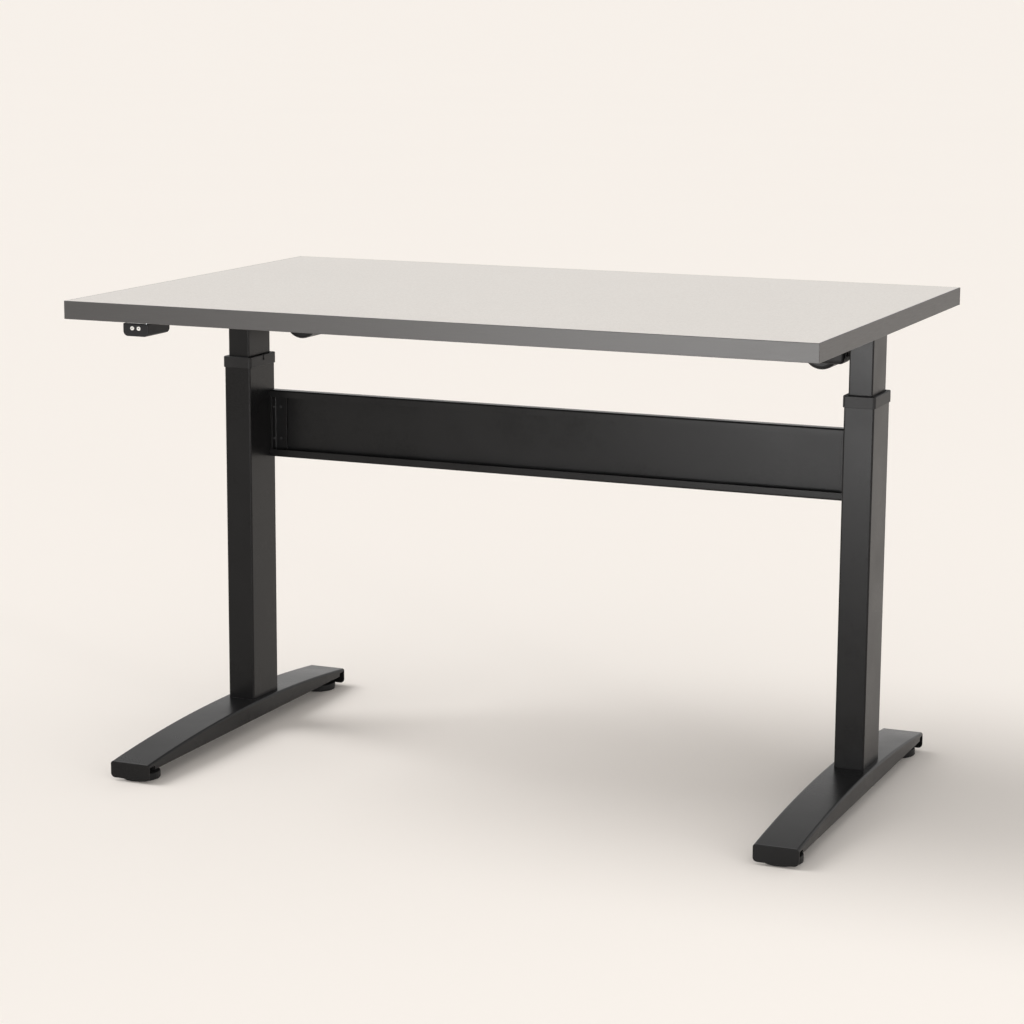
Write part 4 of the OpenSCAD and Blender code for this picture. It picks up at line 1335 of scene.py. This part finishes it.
@dataclass
class SupportTray(Sided):
    """Folded steel tray under the top that carries a column's head and its gears."""

    thickness: float = 2.5 * MM
    bend: float = 3.4 * MM
    flange: float = 20 * MM
    shaft_hole: float = 8 * MM

    def build(self) -> Pieces:
        """Fold the hat section and open the holes for the spindle and the layshaft."""
        node = self.node("support_tray")
        low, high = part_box(node)
        left, right = (low.x, high.x) if self.side is Side.RIGHT else (-high.x, -low.x)
        lip = high.z - self.thickness
        line = [(left, lip), (left + self.flange, lip), (left + self.flange, low.z),
                (right - self.flange, low.z), (right - self.flange, lip), (right, lip)]
        shape = Shape().prism(bent_strip(line, self.thickness, self.bend), Axis.Y, low.y, high.y)
        made = shape.mirrored(self.side).ease(0.4 * MM, 2).piece(f"{node}_pressing", PAINT, "top",
                                                                 [node])
        for stem in ("spindle", "layshaft"):
            shaft_low, shaft_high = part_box(self.node(stem))
            middle = (shaft_low + shaft_high) / 2
            ring = arc((middle.x, middle.y), self.shaft_hole, 0, 350, 35)
            cut(made, Shape().prism(ring, Axis.Z, low.z - MM, low.z + self.thickness + MM))
        return [made]


@dataclass
class Gearbox(Sided):
    """Cast worm gearbox with its parting flange, ribs and cover screws."""

    corner: float = 5 * MM
    flange: float = 3 * MM
    inset: float = 1.5 * MM
    draft: float = 0.6 * MM
    crown: float = 8 * MM
    screw_inset: float = 14 * MM

    def build(self) -> Pieces:
        """Make the casting and its cover screws."""
        node = self.node("gearbox")
        low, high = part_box(node)
        centre = centre_of((low, high))
        width, depth = span_of((low, high))
        flat = high.z - self.flange
        levels = [(self.inset + self.draft + self.crown * (1 - sine), low.z + self.crown * drop)
                  for sine, drop in quarter(5)]
        levels += [(self.inset, flat), (0.0, flat), (0.0, high.z)]
        loops = rims(levels, (width, depth), centre, self.corner, 6, self.corner)
        shape = Shape().loft(loops).ease(0.5 * MM, 2, lambda p: p.z > flat - MM)
        for spot in (0.25, 0.5, 0.75):
            y = low.y + depth * spot
            for x, away in ((low.x, 1), (high.x, -1)):
                near, far = sorted((x + away * 0.7 * MM, x + away * 2.6 * MM))
                shape.box((near, y - MM, low.z + 10 * MM), (far, y + MM, flat - 0.1 * MM))
        ring = [(6.1 * MM, low.z + 0.2 * MM), (10 * MM, low.z + 0.02 * MM),
                (10 * MM, low.z + 2 * MM), (6.1 * MM, low.z + 2 * MM)]
        shape.lathe(ring, post(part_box(self.node("layshaft"))), Axis.Z, 48, closed=True)
        casting = shape.piece(f"{node}_casting", GEAR_CASTING, "top", [node])
        screws = Shape()
        for sx, sy in ((-1, -1), (-1, 1), (1, -1), (1, 1)):
            at = Vector((centre[0] + sx * (width / 2 - self.screw_inset),
                         centre[1] + sy * (depth / 2 - self.screw_inset), low.z + 2.2 * MM))
            screws.screw_head(at, Axis.Z, -1, 3.2 * MM, 2.1 * MM, 2.6 * MM)
        return [casting, screws.piece(f"{node}_screws", ZINC, "top", slot="zinc_hardware")]


@dataclass
class Motor(Sided):
    """Tubular motor shell with its end cap, seams and through-bolts."""

    front_edge: float = 7 * MM
    seam_at: float = 26 * MM
    rear_seam_at: float = 14 * MM
    groove: tuple[Point, ...] = ((0, 0), (0.15, 0.1), (0.5, 0.2), (0.5, 0.9), (0.15, 1.0), (0, 1.1))
    vents: int = 12
    bolt_spots: tuple[int, int] = (2, 8)

    def build(self) -> Pieces:
        """Make the shell and the cap."""
        node = self.node("motor_housing")
        low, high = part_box(node)
        r = (high.x - low.x) / 2
        axis = Vector(((low.x + high.x) / 2, 0, (low.z + high.z) / 2))
        edge = self.front_edge
        front = low.y + 0.5 * MM
        profile = [(6 * MM, low.y + 2 * MM), (6 * MM, low.y + 0.3 * MM), (6.3 * MM, low.y),
                   (15 * MM, low.y), (15.6 * MM, front), (r - edge, front)]
        profile += [(r - edge + edge * sine, front + edge * drop) for sine, drop in quarter(10, 1)]
        for at in (low.y + self.seam_at, high.y - self.rear_seam_at):
            profile += [(r - sunk * MM, at + along * MM) for sunk, along in self.groove]
        profile += [(r, high.y - 0.3 * MM), (r - 0.3 * MM, high.y), (r - 2 * MM, high.y),
                    (r - 2 * MM, low.y + edge), (r - 5 * MM, low.y + 2.5 * MM)]
        shell = Shape().lathe(profile, axis, Axis.Y, 96, closed=True)
        return [shell.piece(f"{node}_shell", MOTOR_PLASTIC, "top", [node]), *self.cap(axis, r)]

    def cap(self, axis: Vector, r: float) -> Pieces:
        """End cap with cooling slots, a bearing boss and two through-bolts."""
        name = self.node("motor_cap")
        low, high = self.own("motor_caps")[0]
        back, face = low.y + 4 * MM, high.y
        profile = [(0, back + MM), (r - 3 * MM, back + MM), (r - 3 * MM, back),
                   (r - 0.4 * MM, back), (r, back + 0.4 * MM)]
        profile += [(r - 2 * MM * drop, face - 2.6 * MM + 1.6 * MM * sine)
                    for sine, drop in quarter(6)]
        profile += [(11 * MM, face - MM), (10.4 * MM, face - 0.2 * MM), (10 * MM, face), (0, face)]
        disc = Shape().lathe(profile, axis, Axis.Y, 96)
        made = disc.piece(name, MOTOR_PLASTIC, "top", ["motor_caps"])
        slots = Shape()
        bolts = Shape()
        slot = rounded(9 * MM, 2.4 * MM, 1.15 * MM, 5, (19 * MM, 0))
        for i in range(self.vents):
            angle = 2 * math.pi * (i + 0.5) / self.vents
            c, s = math.cos(angle), math.sin(angle)
            if i in self.bolt_spots:
                at = axis + Vector((c * 21 * MM, face - 2.6 * MM, s * 21 * MM))
                bolts.screw_head(at, Axis.Y, 1, 3 * MM, 2.4 * MM, 2.4 * MM)
                continue
            turned = [(axis.x + c * u - s * v, axis.z + s * u + c * v) for u, v in slot]
            slots.prism(turned, Axis.Y, face - 3.4 * MM, face + MM)
        cut(made, slots)
        return [made, bolts.piece(f"{name}_bolts", ZINC, "top", slot="zinc_hardware")]


@dataclass
class Spindle(Sided):
    """Lifting screw with a square thread, its journal and its gear."""

    pitch: float = 8 * MM
    depth: float = 1.2 * MM
    journal: float = 6 * MM
    teeth: int = 24

    def build(self) -> Pieces:
        """Cut the thread and put the shoulder, the journal and the gear on it."""
        node = self.node("spindle")
        low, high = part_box(node)
        middle = post((low, high))
        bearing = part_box("spindle_bearings")[0].z
        shoulder, journal = bearing - 2 * MM, self.journal
        shape = Shape().thread(middle, Axis.Z, 7 * MM, self.depth, self.pitch, low.z, shoulder,
                               32, 16)
        shape.lathe([(0, shoulder - 0.05 * MM), (8.2 * MM, shoulder - 0.05 * MM),
                     (8.5 * MM, shoulder + 0.3 * MM), (8.5 * MM, bearing - 0.1 * MM),
                     (journal, bearing - 0.05 * MM), (journal, high.z - 0.5 * MM),
                     (journal - 0.5 * MM, high.z), (0, high.z)], middle, Axis.Z, 48)
        bottom = high.z - 9 * MM
        shape.ring(gear_loops(middle, (high.x - low.x) / 2, self.teeth, bottom, bottom + 8 * MM,
                              journal - MM))
        return [shape.piece(f"{node}_screw", STEEL, node, [node])]


def gear_loops(middle: Vector, radius: float, teeth: int, bottom: float, top: float,
               bore: float) -> list[list[Vector]]:
    """Loops of a spur gear with tapered teeth and a round bore.

    Args:
        middle: A point on the gear's axis.
        radius: Radius over the teeth.
        teeth: Number of teeth.
        bottom: Height of the lower face.
        top: Height of the upper face.
        bore: Radius of the bore.

    Returns:
        Outer lower, outer upper, inner upper and inner lower loops.
    """
    deep = 2.1 * radius / (teeth + 2)
    marks = ((-0.42, deep), (-0.25, deep), (-0.19, deep * 0.45), (-0.11, 0.0), (0.11, 0.0),
             (0.19, deep * 0.45), (0.25, deep), (0.42, deep))
    outer: list[Point] = []
    inner: list[Point] = []
    for tooth in range(teeth):
        for share, drop in marks:
            angle = 2 * math.pi * (tooth + share) / teeth
            outer.append(((radius - drop) * math.cos(angle), (radius - drop) * math.sin(angle)))
            inner.append((bore * math.cos(angle), bore * math.sin(angle)))
    ease = 0.3 * MM
    small = [(u * (1 - ease / radius), v * (1 - ease / radius)) for u, v in outer]
    stack = ((small, bottom), (outer, bottom + ease), (outer, top - ease), (small, top),
             (inner, top), (inner, bottom))
    return [[middle + spot for spot in raised(ring, z)] for ring, z in stack]


@dataclass
class Layshaft(Sided):
    """Upright shaft with the worm wheel and the large gear."""

    shaft: float = 4 * MM
    wheel: float = 20 * MM
    wheel_teeth: int = 32
    gear_teeth: int = 62

    def build(self) -> Pieces:
        """Make the shaft and its two wheels."""
        node = self.node("layshaft")
        low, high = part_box(node)
        middle = post((low, high))
        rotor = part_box(self.node("rotor"))
        worm_z = (rotor[0].z + rotor[1].z) / 2
        bottom = high.z - 9 * MM
        ease, bore = 0.4 * MM, self.shaft - MM
        shape = Shape().lathe([(0, low.z), (self.shaft - ease, low.z),
                               (self.shaft, low.z + ease), (self.shaft, high.z - ease),
                               (self.shaft - ease, high.z), (0, high.z)], middle, Axis.Z, 40)
        shape.ring(gear_loops(middle, (high.x - low.x) / 2, self.gear_teeth, bottom,
                              bottom + 8 * MM, bore))
        shape.ring(gear_loops(middle, self.wheel, self.wheel_teeth, worm_z - 7 * MM,
                              worm_z + 7 * MM, bore))
        return [shape.piece(f"{node}_wheels", STEEL, node, [node])]


# ---------- control box and handset ----------


@dataclass
class ControlBox:
    """Moulded case for the control board, with sockets, inlet and lid."""

    corner: float = 6 * MM
    wall: float = 2.2 * MM
    crown: float = 2.5 * MM
    lug: float = 14 * MM
    lug_height: float = 6 * MM
    ribs: int = 9
    rib_pitch: float = 9 * MM
    rib_shift: float = 30 * MM

    def build(self) -> Pieces:
        """Make the case, its lugs and its vents, then dress what it holds."""
        low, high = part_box("control_box")
        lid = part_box("control_lid")
        centre = (0.0, (low.y + high.y) / 2)
        half = (high.x - low.x) / 2 - self.lug
        top = lid[0].z - 0.05 * MM
        levels = [(self.crown * (1 - sine), low.z + self.crown * drop) for sine, drop in quarter(5)]
        levels += [(0.0, top), (self.wall, top), (self.wall, low.z + self.wall)]
        loops = rims(levels, (2 * half, high.y - low.y), centre, self.corner, 6, 2 * MM)
        shape = Shape().loft(loops)
        under = top - self.lug_height
        for side in (-1, 1):
            at = side * (half + self.lug / 2)
            outline = rounded(self.lug, 30 * MM, 4 * MM, 6, (at, centre[1]))
            hole = arc((at, centre[1]), 2.5 * MM, 0, 345, 23)
            shape.sheet(outline, [hole], Axis.Z, under, top)
            for step in (-1, 1):
                y = centre[1] + step * 10 * MM
                inner, outer = sorted((side * half, side * (half + 7 * MM)))
                shape.box((inner, y - 0.8 * MM, under - 5 * MM), (outer, y + 0.8 * MM, under))
        made = shape.piece("control_case", CONTROL, "top", ["control_box"])
        self.open_sockets(made, low)
        self.cut_vents(made, low, centre)
        outline = rounded(*span_of(lid), self.corner, 6, centre)
        cover = Shape().prism(outline, Axis.Z, lid[0].z + 0.05 * MM, lid[1].z).ease(0.4 * MM, 2)
        carry(BOARD_GREEN, "control_board")
        carry(SOCKET, "power_inlet", "control_sockets")
        return [made, cover.piece("control_cover", CONTROL, "top", ["control_lid"]), self.pins()]

    def open_sockets(self, case: Object, low: Vector) -> None:
        """Open the case where the inlet and the sockets come through."""
        openings = Shape()
        clear = 0.1 * MM
        for box_low, box_high in (*solids("control_sockets"), *solids("power_inlet")):
            lo, hi = box_low.copy(), box_high.copy()
            if box_high.x - box_low.x > 20 * MM:
                lo += Vector((2, 0, 2)) * MM
                hi -= Vector((2, 0, 2)) * MM
            openings.box((lo.x - clear, low.y - MM, lo.z - clear),
                         (hi.x + clear, low.y + self.wall + MM, hi.z + clear))
        cut(case, openings)

    def cut_vents(self, case: Object, low: Vector, centre: Point) -> None:
        """Cut a row of cooling slots in the underside."""
        slots = Shape()
        for i in range(self.ribs):
            x = (i - (self.ribs - 1) / 2) * self.rib_pitch - self.rib_shift
            ring = rounded(3 * MM, 46 * MM, 1.45 * MM, 5, (x, centre[1]))
            slots.prism(ring, Axis.Z, low.z - MM, low.z + self.wall + MM)
        cut(case, slots)

    def pins(self) -> Object:
        """Contact pins inside the sockets."""
        shape = Shape()
        for low, high in solids("control_sockets"):
            middle = (low + high) / 2
            for i in range(4):
                x = middle.x + (i - 1.5) * 2.4 * MM
                shape.box((x - 0.35 * MM, low.y + 1.2 * MM, middle.z - 0.35 * MM),
                          (x + 0.35 * MM, high.y - 2.5 * MM, middle.z + 0.35 * MM))
        return shape.ease(0.1 * MM, 1).piece("socket_pins", ZINC, "top", slot="zinc_hardware")


@dataclass
class Handset:
    """Two-key handset hung under the front edge."""

    corner: float = 8 * MM
    small_corner: float = 1 * MM
    edge: float = 1.6 * MM
    key_radius: float = 3.2 * MM
    key_edge: float = 0.6 * MM
    well: float = 3.5 * MM
    screw_inset: float = 12 * MM

    def outline(self, low: Vector, high: Vector, inset: float) -> list[Point]:
        """Front outline with large round lower corners and small upper ones."""
        small = self.small_corner
        r = max(self.corner - inset, small)
        left, right = low.x + inset, high.x - inset
        bottom, top = low.z + inset, high.z - inset
        line = arc((right - r, bottom + r), r, -90, 0, 12)
        line += arc((right - small, top - small), small, 0, 90, 4)
        line += arc((left + small, top - small), small, 90, 180, 4)
        line += arc((left + r, bottom + r), r, 180, 270, 12)
        return line

    def build(self) -> Pieces:
        """Make the case, its keys, marks and mounting plate."""
        low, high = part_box("handset_case")
        bevel = [(self.edge * (1 - sine), self.edge * drop) for sine, drop in quarter(5)]
        stack = [(inset, low.y + along) for inset, along in bevel]
        stack += [(inset, high.y - along) for inset, along in reversed(bevel)]
        placed = [[Vector((u, y, v)) for u, v in self.outline(low, high, inset)]
                  for inset, y in stack]
        made = [Shape().loft(placed).piece("handset_shell", HANDSET, "top", ["handset_case"])]
        wells = Shape()
        keys = {"button_up": 1, "button_down": -1}
        for name in keys:
            key_low, key_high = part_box(name)
            middle = (key_low + key_high) / 2
            ring = arc((middle.x, middle.z), self.well, 0, 350, 35)
            wells.prism(ring, Axis.Y, low.y - MM, low.y + 4 * MM)
        cut(made[0], wells)
        for name, up in keys.items():
            made += self.key(name, up)
        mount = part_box("handset_mount")
        ring = rounded(*span_of(mount), 4 * MM, 6, centre_of(mount))
        plate = Shape().prism(ring, Axis.Z, mount[0].z, mount[1].z).ease(0.3 * MM, 2)
        made.append(plate.piece("handset_plate", ZINC, "top", ["handset_mount"]))
        made.append(self.screws(low, high))
        carry(BOARD_GREEN, "handset_board")
        return made

    def screws(self, low: Vector, high: Vector) -> Object:
        """Two recessed screws in the case's underside."""
        shape = Shape()
        x = (low.x + high.x) / 2
        for y in (low.y + self.screw_inset, high.y - self.screw_inset):
            shape.screw_head(Vector((x, y, low.z + 1.6 * MM)), Axis.Z, -1, 3.3 * MM, 1.55 * MM,
                             2.2 * MM, True)
        return shape.piece("handset_screws", ZINC, "top", slot="zinc_hardware")

    def key(self, node: str, up: int) -> Pieces:
        """A round domed key and its small raised arrow."""
        low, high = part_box(node)
        middle = Vector(((low.x + high.x) / 2, 0, (low.z + high.z) / 2))
        r, edge, flange = self.key_radius, self.key_edge, (high.x - low.x) / 2
        face = low.y + 0.12 * MM
        profile = [(0, face)]
        profile += [(r - edge + edge * sine, face + edge * drop) for sine, drop in quarter(6)]
        profile += [(r, high.y - 1.3 * MM), (flange, high.y - 1.2 * MM), (flange, high.y),
                    (0, high.y)]
        cap = Shape().lathe(profile, middle, Axis.Y, 64)
        made = cap.piece(f"{node}_cap", KEYS, node, [node])
        tip, half = 1.25 * MM * up, 1.2 * MM
        outline = [(middle.x - half, middle.z - tip * 0.6),
                   (middle.x + half, middle.z - tip * 0.6), (middle.x, middle.z + tip)]
        mark = Shape().prism(outline, Axis.Y, low.y, low.y + 0.3 * MM).ease(0.06 * MM, 1)
        return [made, mark.piece(f"{node}_arrow", KEY_MARK, node, slot="button_plastic")]


# ---------- fasteners ----------


@dataclass
class Fastener:
    """A family of upright screws that share one node."""

    node: str
    body: str
    shank: float
    head_height: float
    key: float
    head_up: bool = False
    domed: bool = False
    pitch: float = 1.5 * MM

    def build(self) -> Pieces:
        """Make every screw of the family with its thread and its head."""
        shape = Shape()
        for low, high in solids(self.node):
            middle = post((low, high))
            radius = (high.x - low.x) / 2
            seat = high.z - self.head_height if self.head_up else low.z + self.head_height
            toward = 1 if self.head_up else -1
            shape.screw_head(middle + Vector((0, 0, seat)), Axis.Z, toward, radius,
                             self.head_height, self.key, self.domed)
            ends = (low.z, seat) if self.head_up else (seat, high.z)
            shape.thread(middle, Axis.Z, self.shank, self.shank * 0.16, self.pitch, *ends, 18, 6)
        return [shape.piece(f"{self.node}_set", ZINC, self.body, [self.node])]


@dataclass
class HiddenPieces:
    """Pieces inside the columns and motors, whose shapes stay as they are."""

    def build(self) -> Pieces:
        """Dress them."""
        carry(STEEL, "column_blocks", "push_tubes", "head_blocks", "spindle_bearings")
        carry(STEEL_LENGTHWAYS, "rotor_left", "rotor_right")
        carry(WHITE_ACETAL, "guide_bushes", "drive_nuts", "slide_shoes", "gear_bushes")
        carry(ZINC, "glide_inserts")
        carry(FERRITE, "motor_magnets")
        return []


# ---------- studio ----------


@dataclass
class Lamp:
    """A light with its place, its aim and its power."""

    name: str
    at: Place
    look: Place
    power: float

    def hang(self, data: bpy.types.Light) -> Object:
        """Put the light in the scene, aimed and out of the camera's sight."""
        data.energy = self.power
        lamp = bpy.data.objects.new(self.name, data)
        bpy.context.scene.collection.objects.link(lamp)
        lamp.location = self.at
        aim = Vector(self.look) - Vector(self.at)
        lamp.rotation_euler = aim.to_track_quat("-Z", "Y").to_euler()
        lamp.visible_camera = False
        return lamp


@dataclass
class Softbox(Lamp):
    """One rectangular light."""

    size: Point
    spread: float

    def build(self) -> Object:
        """Hang the light and point it."""
        data = bpy.data.lights.new(self.name, "AREA")
        data.shape = "RECTANGLE"
        data.size, data.size_y = self.size
        data.spread = math.radians(self.spread)
        return self.hang(data)


@dataclass
class Window(Lamp):
    """One broad light from far away."""

    angle: float

    def build(self) -> Object:
        """Hang the light and point it."""
        data = bpy.data.lights.new(self.name, "SUN")
        data.angle = math.radians(self.angle)
        return self.hang(data)


@dataclass
class Studio:
    """Pale seamless floor, soft light and the camera."""

    camera_at: tuple[float, float, float] = (1.6716, -4.0118, 1.2486)
    yaw: float = 22.872
    pitch: float = 10.767
    roll: float = 0.314
    lens: float = 97.26
    sensor: float = 36.0
    floor_half: float = 600.0
    horizon: Colour = (0.98, 0.965, 0.95)
    zenith: Colour = (0.50, 0.495, 0.49)

    def camera(self) -> None:
        """Place the camera."""
        data = bpy.data.cameras.new("camera")
        data.lens = self.lens
        data.sensor_width = self.sensor
        data.clip_end = 3000
        eye = bpy.data.objects.new("camera", data)
        bpy.context.scene.collection.objects.link(eye)
        turn = (Matrix.Rotation(math.radians(self.yaw), 4, "Z")
                @ Matrix.Rotation(math.radians(90 - self.pitch), 4, "X")
                @ Matrix.Rotation(math.radians(self.roll), 4, "Z"))
        eye.matrix_world = Matrix.Translation(self.camera_at) @ turn
        bpy.context.scene.camera = eye

    def floor(self) -> None:
        """Lay the paper."""
        data = bpy.data.meshes.new("floor")
        h = self.floor_half
        data.from_pydata([(-h, -h, 0), (h, -h, 0), (h, h, 0), (-h, h, 0)], [], [(0, 1, 2, 3)])
        paper = bpy.data.objects.new("floor", data)
        bpy.context.scene.collection.objects.link(paper)
        paper.location.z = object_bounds()[0][2] - 0.05 * MM
        data.materials.append(material_of(PAPER))
        paper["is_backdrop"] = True

    def air(self) -> None:
        """Fill the air with pale light, brightest toward the horizon."""
        world = bpy.data.worlds.new("air")
        bpy.context.scene.world = world
        world.use_nodes = True
        nodes, links = world.node_tree.nodes, world.node_tree.links
        back = nodes["Background"]
        spot = nodes.new("ShaderNodeTexCoord")
        split = nodes.new("ShaderNodeSeparateXYZ")
        ramp = nodes.new("ShaderNodeValToRGB")
        links.new(spot.outputs["Generated"], split.inputs[0])
        links.new(split.outputs["Z"], ramp.inputs[0])
        links.new(ramp.outputs[0], back.inputs["Color"])
        ramp.color_ramp.interpolation = "EASE"
        ramp.color_ramp.elements[0].position = 0.12
        ramp.color_ramp.elements[0].color = (*self.horizon, 1.0)
        ramp.color_ramp.elements[1].position = 0.75
        ramp.color_ramp.elements[1].color = (*self.zenith, 1.0)

    def lamps(self) -> list[Softbox | Window]:
        """The lights."""
        return [
            Window("key", (-0.74, -0.1, 0.77), (0, 0, 0), 1.42, 36),
            Window("second", (0.1, -0.5, 0.77), (0, 0, 0), 0.2, 60),
            Softbox("edge", (3.0, -1.9, 0.6), (-0.5, 0.0, 0.4), 1.6, (0.3, 1.2), 45),
            Softbox("front", (0.0, -3.0, 0.5), (0.4, 0.0, 0.9), 4.4, (1.3, 0.95), 50),
        ]

    def build(self) -> None:
        """Set the studio up."""
        bpy.context.scene.view_settings.view_transform = "Standard"
        self.camera()
        self.floor()
        self.air()
        for lamp in self.lamps():
            lamp.build()


class Assembly(Protocol):
    """Anything that builds some of the desk's pieces."""

    def build(self) -> Pieces:
        """Make the pieces."""


def assemblies() -> list[Assembly]:
    """Every sub-assembly of the desk, in the order it is put together."""
    parts: list[Assembly] = []
    for side in Side:
        parts += [Foot(side), *(Glide(side, end) for end in End), Column(side)]
    parts.append(Crossbar())
    for side in Side:
        parts += [kind(side) for kind in (SupportTray, Gearbox, Motor, Spindle, Layshaft)]
    wood = {"head_height": 2.2 * MM, "key": 3.2 * MM, "domed": True, "pitch": 1.8 * MM}
    return [
        *parts, ControlBox(), Handset(), Worktop(), HiddenPieces(),
        Fastener("foot_bolts", "base", 4 * MM, 5 * MM, 6 * MM, pitch=1.25 * MM),
        Fastener("head_screws", "top", 3 * MM, 3 * MM, 4.4 * MM, head_up=True, pitch=MM),
        Fastener("tray_screws", "top", 2 * MM, **wood),
        Fastener("control_screws", "top", 2.2 * MM, **wood),
    ]


def main() -> None:
    """Build the desk around the frame, then the studio, and log the pieces of each sub-assembly."""
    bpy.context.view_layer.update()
    for part in assemblies():
        made = part.build()
        log.info("%s: %s", type(part).__name__, ", ".join(o.name for o in made) or "dressed")
    Studio().build()


if __name__ == "__main__":
    main()
